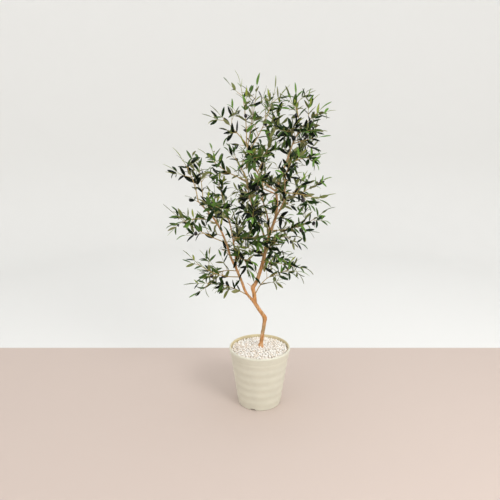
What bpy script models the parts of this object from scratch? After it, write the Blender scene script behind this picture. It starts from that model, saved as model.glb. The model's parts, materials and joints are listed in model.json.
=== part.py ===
"""Potted olive tree: a ribbed 30 cm pot topped with white pebbles, a trunk that forks into two
stems, the boughs above them, and an open crown of leafy sprays with a few olives.

Metres, +Z up. The origin is the centre of the pot's flat underside, and -Y is the front.
Each limb is one tapering solid, and each spray is one solid: a stem, its twigs and its leaves.
"""

import math
import random
from collections import namedtuple

import bmesh
import bpy
from mathutils import Matrix, Vector
from mathutils.kdtree import KDTree

GAP = 0.0003  # clearance between two pieces that meet

# Pot
POT_HEIGHT = 0.300
POT_FOOT_RADIUS = 0.107
POT_WAIST_HEIGHT = 0.262  # the plain taper ends here and the rim flares out
POT_WAIST_RADIUS = 0.1455
POT_RIM_RADIUS = 0.1525
POT_WALL = 0.005
POT_FLOOR = 0.012
POT_FOOT_CHAMFER = 0.004
RIM_FLARE_POWER = 0.7  # below 1, so that the flare is quickest at the waist
LIP_THICKNESS = 0.011
LIP_DEPTH = 0.009
LIP_STEP = 0.0005  # how far the lip's lower edge stands out
LIP_TURNS = (15, 48, 81, 114, 147, 180)  # degrees round the rolled lip
RIB_TOP_CREST = 0.254
RIB_PITCH = 0.0435
RIB_COUNT = 6
RIB_DEPTH = 0.0020  # trough to crest
RIB_LOWEST = 0.008  # no trough lies below this
POT_SIDES = 30
POT_SMOOTH_ANGLE = 40  # degrees: sharper edges stay sharp
NOTCH_COUNT = 4  # drain notches in the edge of the foot
NOTCH_WIDTH = 0.028
NOTCH_HEIGHT = 0.009
NOTCH_DEPTH = 0.016
NOTCH_TURN = 108.0  # degrees from +X back round to the first notch

# Fill
MIX_TOP = 0.264
PEBBLE_CENTRE_HEIGHT = 0.2987
PEBBLE_EDGE_HEIGHT = 0.287
PEBBLE_LUMP = 0.0022
PEBBLE_SEED = 3
FILL_EASE = 0.001  # how far the top of each fill stays inside the pot's wall
SEAT_RADIUS = 0.020  # flat patch that the trunk stands on
PEBBLE_RINGS = (0.050, 0.085, 0.115)

# Wood. A limb grows from a share of its parent's length, by the route of its centre line.
# Girths are radii, at its foot and at its tip.
TRUNK_FLARE = 0.30  # extra radius at the ground, as a share
TRUNK_FLARE_HEIGHT = 0.010
Limb = namedtuple("Limb", "parent along foot_girth tip_girth sides route")
Knot = namedtuple("Knot", "limb height bearing swell width")
LIMB_STEP = 0.030  # between rings
LIMB_SMOOTH_ANGLE = 50

LIMBS = {
    "trunk": Limb(None, 0, 0.0094, 0.0092, 10, [
        (0.006, 0, 0.299), (0.014, 0, 0.370), (0.023, 0, 0.444), (0, 0, 0.489), (-0.025, 0, 0.528)]),
    "right_stem": Limb("trunk", 1, 0.0096, 0.0082, 8, [
        (-0.027, 0, 0.562), (-0.033, 0, 0.604), (-0.012, 0.003, 0.648), (0.016, 0.012, 0.743),
        (0.031, 0.020, 0.825)]),
    "left_stem": Limb("trunk", 1, 0.0064, 0.0060, 8, [
        (-0.068, -0.005, 0.584), (-0.085, -0.015, 0.634), (-0.115, -0.030, 0.715)]),
    "left_bough": Limb("left_stem", 1, 0.0058, 0.0032, 6, [
        (-0.139, -0.040, 0.771), (-0.160, -0.055, 0.847), (-0.195, -0.075, 0.934),
        (-0.230, -0.090, 0.988), (-0.280, -0.110, 1.048)]),
    "left_inner_bough": Limb("left_stem", 1, 0.0045, 0.0028, 6, [
        (-0.120, 0, 0.786), (-0.141, 0.050, 0.895), (-0.165, 0.090, 0.973)]),
    "leader": Limb("right_stem", 1, 0.0074, 0.0055, 8, [
        (0.050, 0.030, 0.882), (0.074, 0.035, 0.951), (0.079, 0.035, 1.021), (0.073, 0.030, 1.073)]),
    "right_bough": Limb("leader", 1, 0.0050, 0.0026, 6, [
        (0.094, 0.020, 1.140), (0.127, 0, 1.238), (0.150, -0.010, 1.309), (0.187, -0.020, 1.371)]),
    "centre_bough": Limb("right_stem", 1, 0.0048, 0.0028, 6, [
        (0.001, -0.010, 0.914), (-0.035, -0.050, 1.007), (-0.053, -0.080, 1.075), (-0.068, -0.100, 1.158)]),
    "upper_bough": Limb("leader", 1, 0.0042, 0.0026, 6, [
        (0.026, 0.035, 1.106), (-0.014, 0.025, 1.160), (-0.071, 0, 1.300)]),
    "middle_bough": Limb("leader", 0.94, 0.0036, 0.0026, 6, [
        (0.016, 0, 1.087), (-0.037, -0.030, 1.111), (-0.093, -0.060, 1.145)]),
    "back_bough": Limb("leader", 0.20, 0.0042, 0.0026, 6, [
        (0.035, 0.090, 0.945), (0.010, 0.150, 1.045), (0.025, 0.185, 1.155)]),
    "front_bough": Limb("leader", 0.45, 0.0040, 0.0026, 6, [
        (0.090, -0.040, 1.000), (0.105, -0.110, 1.065), (0.100, -0.165, 1.150)]),
}
KNOTS = [
    Knot("trunk", 0.452, -20, 0.0055, 0.013),  # stub of a cut limb on the knee
    Knot("right_stem", 0.610, 180, 0.0040, 0.011),
    Knot("trunk", 0.304, 190, 0.0050, 0.006),  # nub of a root at the foot
]

# Foliage. A spray's stem grows from a share of its limb's length. Reach, heading and climb, in
# metres and degrees, lay it out from there to its tip, and bow lifts its middle by a share of that.
Spray = namedtuple("Spray", "limb along reach heading climb bow olives")

SPRAYS = {
    # left lobe
    "left_crest": Spray("left_bough", 1.00, 0.205, -156, 70, 0.06, 0),
    "left_crest_inner": Spray("left_bough", 0.90, 0.210, 113, 72, 0.04, 0),
    "left_reach": Spray("left_bough", 0.36, 0.300, -155, 33, -0.04, 1),
    "left_underside": Spray("left_bough", 0.62, 0.192, -138, 12, 0.10, 0),
    "left_front": Spray("left_bough", 0.78, 0.205, -76, 26, -0.05, 0),
    "left_shoulder": Spray("middle_bough", 1.00, 0.180, -164, 35, -0.06, 0),
    "middle_front": Spray("middle_bough", 0.55, 0.244, -88, 16, -0.02, 1),
    "inner_crest": Spray("left_inner_bough", 1.00, 0.160, 168, 73, 0.02, 0),
    "inner_back": Spray("left_inner_bough", 0.85, 0.225, 112, 3, -0.06, 0),
    "inner_low": Spray("left_inner_bough", 0.45, 0.200, 77, 13, -0.08, 0),
    "inner_front": Spray("left_inner_bough", 0.52, 0.175, -40, 10, -0.04, 0),
    "inner_foot": Spray("left_inner_bough", 0.16, 0.170, -62, 8, 0.02, 0),
    # foot of the crown
    "foot_left": Spray("left_stem", 0.22, 0.268, -170, 17, 0.09, 0),
    "foot_left_upper": Spray("left_stem", 0.76, 0.265, -161, 27, -0.11, 1),
    "foot_left_back": Spray("left_stem", 0.92, 0.243, 133, -20, 0.06, 0),
    "foot_right": Spray("right_stem", 0.12, 0.260, -16, 33, 0.18, 1),
    "foot_right_upper": Spray("right_stem", 0.72, 0.200, -10, -8, 0.00, 0),
    "foot_right_back": Spray("right_stem", 0.60, 0.220, 66, 0, 0.00, 0),
    "stem_front": Spray("right_stem", 0.88, 0.210, -71, 27, 0.01, 0),
    "stem_back": Spray("right_stem", 0.80, 0.210, 143, 10, 0.03, 0),
    # right lobe
    "right_reach": Spray("leader", 0.25, 0.265, -7, 21, -0.10, 2),
    "right_reach_low": Spray("leader", 0.10, 0.145, 28, -3, 0.00, 0),
    "right_wing": Spray("leader", 0.80, 0.240, 11, 23, -0.04, 1),
    "right_back": Spray("leader", 0.55, 0.258, 61, 18, 0.01, 0),
    "leader_back": Spray("back_bough", 0.55, 0.200, 130, 5, 0.05, 0),
    "front_crest": Spray("front_bough", 1.00, 0.150, -80, 40, 0.05, 0),
    "front_low": Spray("front_bough", 0.75, 0.170, -35, -5, 0.05, 1),
    "back_crest": Spray("back_bough", 1.00, 0.160, 100, 50, 0.05, 0),
    "back_low": Spray("back_bough", 0.75, 0.180, 50, 0, 0.05, 0),
    # upper crown
    "right_shelf": Spray("right_bough", 0.40, 0.150, -15, 18, 0.04, 0),
    "right_cluster": Spray("right_bough", 0.72, 0.115, 0, 14, 0.02, 0),
    "right_shelf_back": Spray("right_bough", 0.50, 0.230, 71, 6, -0.03, 0),
    "right_shelf_front": Spray("right_bough", 0.80, 0.205, -110, 11, 0.05, 0),
    "right_crest": Spray("right_bough", 1.00, 0.100, -8, 43, 0.00, 1),
    "right_crest_low": Spray("right_bough", 0.88, 0.120, -58, 8, 0.04, 1),
    "right_top": Spray("right_bough", 0.95, 0.158, 121, 74, -0.04, 1),
    "upper_crest": Spray("upper_bough", 1.00, 0.175, -163, 46, 0.01, 1),
    "top_left": Spray("upper_bough", 0.93, 0.280, -178, 84, 0.03, 1),
    "top_middle_left": Spray("upper_bough", 0.90, 0.287, 56, 74, -0.02, 0),
    "top_middle": Spray("upper_bough", 0.84, 0.300, -25, 65, -0.06, 2),
    "upper_inner": Spray("upper_bough", 0.45, 0.340, 3, 73, -0.04, 0),
    "upper_back": Spray("upper_bough", 0.50, 0.240, 96, 16, -0.02, 0),
    "upper_front": Spray("upper_bough", 0.70, 0.250, -88, 11, -0.04, 0),
    "centre_front": Spray("centre_bough", 0.55, 0.250, -91, 1, -0.02, 0),
    "centre_crest": Spray("centre_bough", 1.00, 0.110, 175, 62, -0.02, 0),
}

STEM_SUNK = 0.002  # how far back a stem starts that carries on from a limb's tip
STEM_GIRTH = 0.0028  # radius at the foot
STEM_TIP_GIRTH = 0.0015
TWIG_GIRTH = 0.0014
TWIG_TIP_GIRTH = 0.0011
TWIG_SIDES = 3
STEM_STEP = 0.055  # between rings
TWIG_STEP = 0.045
TWIG_EVERY = 0.062  # of stem length
TWIG_SPAN = (0.22, 0.84)  # the share of the stem that carries twigs
TWIG_REACH = 0.100
TWIG_SIZES = (0.75, 1.05)
TWIG_SHORTENING = (1.15, 0.60)  # of a twig at the stem's foot and at its tip
TWIG_LEAN = (40, 58)  # degrees from the stem
TWIG_LIFT = 0.12
TWIG_BOW = (-0.08, 0.02)
TWIG_BARE_FOOT = 0.012  # carries no leaves
LEAF_LENGTH = 0.066
LEAF_WIDTH = 0.018
LEAF_THICKNESS = 0.0016
LEAF_WIDEST = 0.42  # share of the length
LEAF_SUNK = 0.0003  # how far past its twig's axis a leaf is rooted
LEAF_SIZES = (0.88, 1.08)
LEAF_LEAN = (40, 62)  # degrees from the twig
LEAF_EVERY = 0.038  # between pairs
STEM_BARE_FOOT = 0.035  # carries no leaves
TIP_SHARE = 0.995  # where on its twig the last leaf is rooted
OLIVE_LENGTH = 0.021
OLIVE_WIDTH = 0.017
OLIVE_STALK = 0.012
STALK_GIRTH = 0.0011
STALK_SUNK = 0.002
OLIVE_FIRST = 0.55  # share of the stem where the first olive hangs, and from one to the next
OLIVE_SPACING = 0.25
GOLDEN_ANGLE = math.radians(137.5)

# Each spray keeps to its own space
SPACE_MARGIN = 0.004  # how much nearer its own stem than any other stem a point has to be
SPACE_RADIUS = 0.150
LIMB_MARGIN = 0.003
SAMPLE_STEP = 0.006

COLOURS = {
    "pot": (0.68, 0.60, 0.48, 1),
    "mix": (0.06, 0.04, 0.03, 1),
    "pebbles": (0.80, 0.74, 0.66, 1),
    "bark": (0.50, 0.32, 0.18, 1),
    "leaves": (0.08, 0.12, 0.05, 1),
}
ROUGHNESS = {"pot": 0.5, "mix": 1.0, "pebbles": 0.7, "bark": 0.8, "leaves": 0.5}


# ---------------------------------------------------------------- curves


def smooth_route(points, step):
    """Points about step apart on a smooth curve through the given ones."""
    points = [Vector(p) for p in points]
    ends = [2 * points[0] - points[1]] + points + [2 * points[-1] - points[-2]]
    curve = []
    for before, start, end, after in zip(ends, ends[1:], ends[2:], ends[3:]):
        pieces = max(1, round((end - start).length / step))
        for i in range(pieces):
            t = i / pieces
            bend = (2 * before - 5 * start + 4 * end - after) * t * t
            turn = (3 * start - before - 3 * end + after) * t**3
            curve.append(0.5 * (2 * start + (end - before) * t + bend + turn))
    return curve + [points[-1]]


def distances(curve):
    """How far along the curve each of its points lies."""
    total = [0.0]
    for a, b in zip(curve, curve[1:]):
        total.append(total[-1] + (b - a).length)
    return total


def point_at(curve, share):
    """The point at a share of the curve's length, and the direction there."""
    total = distances(curve)
    reach = share * total[-1]
    for i in range(1, len(curve)):
        if reach <= total[i] or i == len(curve) - 1:
            step = curve[i] - curve[i - 1]
            return curve[i - 1] + step * ((reach - total[i - 1]) / step.length), step.normalized()


def arc(start, tip, bow, step):
    """A curve from start to tip whose middle stands off the chord by bow times its length, upwards."""
    chord = tip - start
    sideways = chord.cross(Vector((0, 0, 1))).normalized()
    lift = sideways.cross(chord).normalized() * chord.length * bow
    control = (start + tip) / 2 + 2 * lift
    count = max(2, round(chord.length / step))
    shares = [i / count for i in range(count + 1)]
    return [start * (1 - t) ** 2 + control * 2 * t * (1 - t) + tip * t * t for t in shares]


def taper(first, last, count):
    """Evenly spaced radii from first to last."""
    return [first + (last - first) * i / (count - 1) for i in range(count)]


def towards(heading, climb):
    """Unit vector at a heading from +X and a climb from level, in degrees."""
    heading, climb = math.radians(heading), math.radians(climb)
    level = Vector((math.cos(heading), math.sin(heading), 0))
    return level * math.cos(climb) + Vector((0, 0, math.sin(climb)))


def square_to(direction):
    """A unit vector square to the direction, and upward of it where it can be."""
    across = direction.cross(Vector((0, 0, 1)))
    if across.length < 1e-4:
        across = Vector((1, 0, 0))
    return across.cross(direction).normalized()


# ---------------------------------------------------------------- meshes


def new_object(name, bm, material=None, smooth_angle=None):
    """A scene object from a bmesh, with its faces pointing out."""
    bmesh.ops.recalc_face_normals(bm, faces=bm.faces)
    mesh = bpy.data.meshes.new(name)
    bm.to_mesh(mesh)
    bm.free()
    if material:
        mesh.materials.append(material)
    if smooth_angle:
        mesh.shade_smooth()
        mesh.set_sharp_from_angle(angle=math.radians(smooth_angle))
    made = bpy.data.objects.new(name, mesh)
    bpy.context.scene.collection.objects.link(made)
    return made


def tube(curve, girths, sides, swell=None, level_foot=False):
    """A closed tube along a curve. swell(point, outward) adds to the radius."""
    bm = bmesh.new()
    rings = []
    up = square_to(curve[1] - curve[0])
    for i, centre in enumerate(curve):
        ahead = (curve[min(i + 1, len(curve) - 1)] - curve[max(i - 1, 0)]).normalized()
        if level_foot and i == 0:
            ahead = Vector((0, 0, 1))
        up = (up - ahead * up.dot(ahead)).normalized()
        across = ahead.cross(up)
        ring = []
        for k in range(sides):
            angle = 2 * math.pi * k / sides
            outward = up * math.cos(angle) + across * math.sin(angle)
            girth = girths[i] + (swell(centre, outward) if swell else 0)
            ring.append(bm.verts.new(centre + outward * girth))
        rings.append(ring)
    for ring, following in zip(rings, rings[1:]):
        for k in range(sides):
            n = (k + 1) % sides
            bm.faces.new((ring[k], ring[n], following[n], following[k]))
    bm.faces.new(rings[0])
    bm.faces.new(rings[-1])
    return bm


def turned(profile, sides):
    """A solid turned about Z from (radius, height) points that start and end on the axis."""
    bm = bmesh.new()
    points = [bm.verts.new((radius, 0, height)) for radius, height in profile]
    edges = [bm.edges.new(pair) for pair in zip(points, points[1:])]
    bmesh.ops.spin(bm, geom=points + edges, cent=(0, 0, 0), axis=(0, 0, 1), angle=2 * math.pi, steps=sides)
    bmesh.ops.remove_doubles(bm, verts=bm.verts, dist=1e-6)
    return bm


def apply_boolean(body, operation, other, solver="EXACT"):
    """Cuts or joins body with another object or a whole collection, for good."""
    modifier = body.modifiers.new(operation.title(), "BOOLEAN")
    modifier.operation = operation
    modifier.solver = solver
    if isinstance(other, bpy.types.Collection):
        modifier.operand_type = "COLLECTION"
        modifier.collection = other
    else:
        modifier.object = other
    graph = bpy.context.evaluated_depsgraph_get()
    mesh = bpy.data.meshes.new_from_object(body.evaluated_get(graph))
    body.modifiers.clear()
    worn = body.data
    body.data = mesh
    bpy.data.meshes.remove(worn)


def remove_object(thing):
    mesh = thing.data
    bpy.data.objects.remove(thing)
    bpy.data.meshes.remove(mesh)


def keep_largest_piece(body):
    """Drops the loose scraps that a cut or a join can leave."""
    bm = bmesh.new()
    bm.from_mesh(body.data)
    unseen = set(bm.verts)
    pieces = []
    while unseen:
        piece = {unseen.pop()}
        edge_of = list(piece)
        while edge_of:
            for edge in edge_of.pop().link_edges:
                for vertex in edge.verts:
                    if vertex in unseen:
                        unseen.remove(vertex)
                        piece.add(vertex)
                        edge_of.append(vertex)
        pieces.append(piece)
    pieces.sort(key=len)
    for scrap in pieces[:-1]:
        bmesh.ops.delete(bm, geom=list(scrap), context="VERTS")
    bm.to_mesh(body.data)
    bm.free()


# ---------------------------------------------------------------- pot and fill


def pot_radius(height):
    """The pot's mean outer radius: a plain taper, then the flare of the rim."""
    share = height / POT_WAIST_HEIGHT
    if share <= 1:
        return POT_FOOT_RADIUS + (POT_WAIST_RADIUS - POT_FOOT_RADIUS) * share
    flare = (height - POT_WAIST_HEIGHT) / (POT_HEIGHT - POT_WAIST_HEIGHT)
    return POT_WAIST_RADIUS + (POT_RIM_RADIUS - POT_WAIST_RADIUS) * flare**RIM_FLARE_POWER


def fill_radius(height):
    return pot_radius(height) - POT_WALL - GAP


def make_pot(material):
    """The shell: ribbed outside, plain inside, with a rolled lip and drain notches in its foot."""
    corner = POT_FOOT_CHAMFER
    outer = [(0, 0), (POT_FOOT_RADIUS - corner, 0), (pot_radius(corner), corner)]
    for k in reversed(range(RIB_COUNT)):
        trough = RIB_TOP_CREST - RIB_PITCH * (k + 0.5)
        crest = RIB_TOP_CREST - RIB_PITCH * k
        if trough > RIB_LOWEST:
            outer.append((pot_radius(trough) - RIB_DEPTH / 2, trough))
        outer.append((pot_radius(crest) + RIB_DEPTH / 2, crest))
    collar = RIB_TOP_CREST + RIB_PITCH / 4
    outer.append((pot_radius(collar), collar))
    lip_low = POT_HEIGHT - LIP_DEPTH
    outer.append((pot_radius(lip_low) + LIP_STEP, lip_low))
    middle = POT_RIM_RADIUS - LIP_THICKNESS / 2
    lip = []
    for turn in LIP_TURNS:
        angle = math.radians(turn)
        lip.append((middle + LIP_THICKNESS / 2 * math.cos(angle), lip_low + LIP_DEPTH * math.sin(angle)))
    inner = [(pot_radius(h) - POT_WALL, h) for h in (POT_WAIST_HEIGHT, POT_FLOOR)]
    profile = outer + lip + inner + [(0, POT_FLOOR)]
    pot = new_object("pot", turned(profile, POT_SIDES), material, POT_SMOOTH_ANGLE)
    for k in range(NOTCH_COUNT):
        turn = math.radians(360 / NOTCH_COUNT * k - NOTCH_TURN)
        bm = bmesh.new()
        size = Matrix.Diagonal((2 * NOTCH_DEPTH, NOTCH_WIDTH, 2 * NOTCH_HEIGHT, 1))
        place = Matrix.Rotation(turn, 4, "Z") @ Matrix.Translation((POT_FOOT_RADIUS, 0, 0)) @ size
        bmesh.ops.create_cube(bm, size=1, matrix=place)
        cutter = new_object("notch_cutter", bm)
        apply_boolean(pot, "DIFFERENCE", cutter)
        remove_object(cutter)


def make_potting_mix(material):
    bottom = POT_FLOOR + GAP
    radius = fill_radius(bottom)
    profile = [(0, bottom), (radius, bottom), (fill_radius(MIX_TOP) - FILL_EASE, MIX_TOP), (0, MIX_TOP)]
    new_object("potting_mix", turned(profile, POT_SIDES), material, POT_SMOOTH_ANGLE)


def make_pebbles(material):
    """The layer of pebbles: lumpy and a little mounded, with a flat patch under the trunk."""
    draw = random.Random(PEBBLE_SEED)
    foot = Vector(LIMBS["trunk"].route[0])
    bottom = MIX_TOP + GAP
    edge = fill_radius(bottom) - FILL_EASE
    bm = bmesh.new()
    rings = []
    for radius in (SEAT_RADIUS,) + PEBBLE_RINGS + (edge,):
        share = radius / edge
        height = PEBBLE_CENTRE_HEIGHT + (PEBBLE_EDGE_HEIGHT - PEBBLE_CENTRE_HEIGHT) * share**2
        seat = radius == SEAT_RADIUS
        ring = []
        for k in range(POT_SIDES):
            angle = 2 * math.pi * k / POT_SIDES
            lump = 0 if seat else draw.uniform(-PEBBLE_LUMP, PEBBLE_LUMP)
            x = foot.x * (1 - share) + radius * math.cos(angle)
            z = PEBBLE_CENTRE_HEIGHT if seat else height + lump
            ring.append(bm.verts.new((x, radius * math.sin(angle), z)))
        rings.append(ring)
    below = [bm.verts.new((v.co.x, v.co.y, bottom)) for v in rings[-1]]
    rings.append(below)
    for ring, following in zip(rings, rings[1:]):
        for k in range(POT_SIDES):
            n = (k + 1) % POT_SIDES
            bm.faces.new((ring[k], ring[n], following[n], following[k]))
    bm.faces.new(rings[0])
    bm.faces.new(below)
    bmesh.ops.triangulate(bm, faces=bm.faces)
    new_object("pebbles", bm, material)


# ---------------------------------------------------------------- wood


def limb_curves():
    """Each limb's centre line, from its parent's axis to its tip."""
    curves = {}
    for name, limb in LIMBS.items():
        route = [Vector(p) for p in limb.route]
        if limb.parent:
            start, _ = point_at(curves[limb.parent], limb.along)
            route.insert(0, start)
        curves[name] = smooth_route(route, LIMB_STEP)
    return curves


def limb_girths(name, curve):
    """The radius at each point: an even taper, and the root flare at the trunk's foot."""
    limb = LIMBS[name]
    total = distances(curve)
    girths = []
    for reach in total:
        girth = limb.foot_girth + (limb.tip_girth - limb.foot_girth) * reach / total[-1]
        if limb.parent is None:
            girth *= 1 + TRUNK_FLARE * math.exp(-reach / TRUNK_FLARE_HEIGHT)
        girths.append(girth)
    return girths


def knot_swell(name):
    """The bumps that old cut limbs leave on a limb."""
    knots = [knot for knot in KNOTS if knot.limb == name]

    def swell(point, outward):
        total = 0
        for knot in knots:
            facing = max(0, outward.dot(towards(knot.bearing, 0)))
            total += knot.swell * facing**2 * math.exp(-(((point.z - knot.height) / knot.width) ** 2))
        return total

    return swell if knots else None


def clearance_tube(name, curve):
    """The limb grown by the gap all round and past its ends: it cuts whatever grows from the limb."""
    sides = LIMBS[name].sides
    grow = GAP / math.cos(math.pi / sides)
    start = curve[0] - (curve[1] - curve[0]).normalized() * GAP
    end = curve[-1] + (curve[-1] - curve[-2]).normalized() * GAP
    girths = [girth + grow for girth in limb_girths(name, curve)]
    return new_object("clearance", tube([start] + curve[1:-1] + [end], girths, sides, knot_swell(name)))


def make_limbs(curves, material):
    """One tapering solid for each limb, coped to whatever limb it grows from."""
    cutters = {}
    for name, curve in curves.items():
        limb = LIMBS[name]
        bm = tube(curve, limb_girths(name, curve), limb.sides, knot_swell(name), limb.parent is None)
        body = new_object(name, bm, material)
        for cutter in cutters.values():
            apply_boolean(body, "DIFFERENCE", cutter)
        keep_largest_piece(body)
        body.data.shade_smooth()
        body.data.set_sharp_from_angle(angle=math.radians(LIMB_SMOOTH_ANGLE))
        cutters[name] = clearance_tube(name, curve)
    return cutters


# ---------------------------------------------------------------- foliage


class Spaces:
    """The room that each spray may fill: nearer its own stem than any other, and clear of the wood."""

    def __init__(self, stems, curves):
        samples = [(p, name) for name, stem in stems.items() for p in smooth_route(stem, SAMPLE_STEP)]
        self.owners = [name for _, name in samples]
        self.stems = KDTree(len(samples))
        for i, (point, _) in enumerate(samples):
            self.stems.insert(point, i)
        self.stems.balance()
        self.girths = []
        wood = []
        for name, curve in curves.items():
            fine = smooth_route(curve, SAMPLE_STEP)
            limb = LIMBS[name]
            for i, point in enumerate(fine):
                share = i / (len(fine) - 1)
                wood.append(point)
                self.girths.append(limb.foot_girth + (limb.tip_girth - limb.foot_girth) * share)
        self.wood = KDTree(len(wood))
        for i, point in enumerate(wood):
            self.wood.insert(point, i)
        self.wood.balance()

    def free(self, name, points):
        """Whether every point lies in the spray's own room."""
        for point in points:
            _, _, own = self.stems.find(point, filter=lambda i: self.owners[i] == name)
            _, _, other = self.stems.find(point, filter=lambda i: self.owners[i] != name)
            if own > SPACE_RADIUS or own > other - SPACE_MARGIN:
                return False
            _, i, wood = self.wood.find(point)
            if wood < self.girths[i] + LIMB_MARGIN:
                return False
        return True


def stem_curves(curves):
    """Each spray's stem, from the axis of its limb."""
    stems = {}
    for name, spray in SPRAYS.items():
        start, ahead = point_at(curves[spray.limb], spray.along)
        tip = start + towards(spray.heading, spray.climb) * spray.reach
        if spray.along == 1:
            start = start - ahead * STEM_SUNK
        stems[name] = arc(start, tip, spray.bow, STEM_STEP)
    return stems


def twig_curves(name, stem, spaces):
    """The side twigs of a stem: turned by the golden angle from one to the next."""
    draw = random.Random("twigs of " + name)
    length = distances(stem)[-1]
    count = max(2, round(length / TWIG_EVERY))
    roll = draw.uniform(0, 2 * math.pi)
    twigs = []
    for i in range(count):
        share = TWIG_SPAN[0] + (TWIG_SPAN[1] - TWIG_SPAN[0]) * (i + 0.5) / count
        start, ahead = point_at(stem, share)
        outward = Matrix.Rotation(roll + i * GOLDEN_ANGLE, 3, ahead) @ square_to(ahead)
        lean = math.radians(draw.uniform(*TWIG_LEAN))
        shortening = TWIG_SHORTENING[0] + (TWIG_SHORTENING[1] - TWIG_SHORTENING[0]) * share
        reach = TWIG_REACH * draw.uniform(*TWIG_SIZES) * shortening
        way = ahead * math.cos(lean) + outward * math.sin(lean) + Vector((0, 0, TWIG_LIFT))
        twig = arc(start, start + way.normalized() * reach, draw.uniform(*TWIG_BOW), TWIG_STEP)
        if spaces.free(name, twig[1:]):
            twigs.append(twig)
    return twigs


def leaf_places(curve, bare, draw):
    """(root, direction, face) of each leaf: crossed pairs along a twig, and one leaf at its tip."""
    length = distances(curve)[-1]
    count = max(1, int((length - bare) / LEAF_EVERY))
    roll = draw.uniform(0, math.pi)
    places = []
    for i in range(count):
        share = (bare + (length - bare) * (i + 0.5) / count) / length
        root, ahead = point_at(curve, share)
        for side in (0, math.pi):
            turn = roll + i * math.pi / 2 + side
            outward = Matrix.Rotation(turn, 3, ahead) @ square_to(ahead)
            lean = math.radians(draw.uniform(*LEAF_LEAN))
            way = (ahead * math.cos(lean) + outward * math.sin(lean)).normalized()
            face = (ahead - way * ahead.dot(way)).normalized()
            places.append((root, way, face))
    root, ahead = point_at(curve, TIP_SHARE)
    places.append((root, ahead, square_to(ahead)))
    return places


def leaf_corners(root, way, face, size):
    """A leaf's corners: its root sunk in the twig, its tip, and its two sides, set below the midrib."""
    wide = way.cross(face) * LEAF_WIDTH * size / 2
    middle = root + way * LEAF_LENGTH * size * LEAF_WIDEST - face * LEAF_THICKNESS
    return [root - way * LEAF_SUNK, root + way * LEAF_LENGTH * size, middle + wide, middle - wide]


def leaf_mesh(corners):
    """A blade with a raised midrib from its root to its tip: four long faces."""
    bm = bmesh.new()
    points = [bm.verts.new(corner) for corner in corners]
    for left_out in points:
        bm.faces.new([point for point in points if point != left_out])
    return bm


def olive_mesh(top):
    """An olive hanging from its top by a short stalk, as two meshes."""
    stalk = tube([top, top - Vector((0, 0, OLIVE_STALK + STALK_SUNK))], [STALK_GIRTH] * 2, TWIG_SIDES)
    fruit = bmesh.new()
    centre = top - Vector((0, 0, OLIVE_STALK + OLIVE_LENGTH / 2))
    size = Matrix.Diagonal((OLIVE_WIDTH, OLIVE_WIDTH, OLIVE_LENGTH, 1))
    bmesh.ops.create_icosphere(fruit, subdivisions=1, radius=0.5, matrix=Matrix.Translation(centre) @ size)
    return stalk, fruit


def make_spray(name, stem, spaces, cutters, material):
    """One solid: the stem coped to its limb, the twigs, the leaves and the olives, joined."""
    spray = SPRAYS[name]
    draw = random.Random("leaves of " + name)
    twigs = twig_curves(name, stem, spaces)
    pieces = []
    places = leaf_places(stem, STEM_BARE_FOOT, draw)
    for twig in twigs:
        pieces.append(tube(twig, taper(TWIG_GIRTH, TWIG_TIP_GIRTH, len(twig)), TWIG_SIDES))
        places += leaf_places(twig, TWIG_BARE_FOOT, draw)
    leaves = 0
    for root, way, face in places:
        corners = leaf_corners(root, way, face, draw.uniform(*LEAF_SIZES))
        middle = (corners[2] + corners[3]) / 2
        if spaces.free(name, corners[1:] + [middle, (middle + corners[1]) / 2, (root + middle) / 2]):
            pieces.append(leaf_mesh(corners))
            leaves += 1
    for i in range(spray.olives):
        top, _ = point_at(stem, OLIVE_FIRST + OLIVE_SPACING * i)
        bottom = top - Vector((0, 0, OLIVE_STALK + OLIVE_LENGTH))
        if spaces.free(name, [bottom, (top + bottom) / 2]):
            pieces.extend(olive_mesh(top))
    girths = taper(STEM_GIRTH, STEM_TIP_GIRTH, len(stem))
    body = new_object("spray_" + name, tube(stem, girths, TWIG_SIDES), material)
    apply_boolean(body, "DIFFERENCE", cutters[spray.limb])
    keep_largest_piece(body)
    bunch = bpy.data.collections.new("bunch")
    bpy.context.scene.collection.children.link(bunch)
    for bm in pieces:
        piece = new_object("piece", bm, material)
        bpy.context.scene.collection.objects.unlink(piece)
        bunch.objects.link(piece)
    apply_boolean(body, "UNION", bunch)
    for piece in list(bunch.objects):
        remove_object(piece)
    bpy.data.collections.remove(bunch)
    keep_largest_piece(body)
    return leaves


def make_materials():
    made = {}
    for name, colour in COLOURS.items():
        material = bpy.data.materials.new(name)
        material.use_nodes = True
        shader = material.node_tree.nodes["Principled BSDF"]
        shader.inputs["Base Color"].default_value = colour
        shader.inputs["Roughness"].default_value = ROUGHNESS[name]
        shader.inputs["Metallic"].default_value = 0
        made[name] = material
    return made


def main():
    for thing in list(bpy.data.objects):
        bpy.data.objects.remove(thing)
    materials = make_materials()
    make_pot(materials["pot"])
    make_potting_mix(materials["mix"])
    make_pebbles(materials["pebbles"])
    curves = limb_curves()
    cutters = make_limbs(curves, materials["bark"])
    stems = stem_curves(curves)
    spaces = Spaces(stems, curves)
    leaves = 0
    for name, stem in stems.items():
        leaves += make_spray(name, stem, spaces, cutters, materials["leaves"])
    print(leaves, "leaves")
    for cutter in cutters.values():
        remove_object(cutter)


main()
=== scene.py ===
"""Looks of the potted olive tree: moulded pot, white pebbles, young bark, twigs, leaves and olives.

Metres, +Z up. The origin is the centre of the pot's flat underside, and -Y is the front.
The limbs and sprays grow by the same rule as the solids that they stand for, down to finer twigs.
"""

import json
import math
import random
from collections import namedtuple

import bmesh
import bpy
import numpy as np
from bpy.props import FloatProperty, FloatVectorProperty, PointerProperty
from mathutils import Matrix, Vector, noise
from mathutils.kdtree import KDTree

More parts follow.
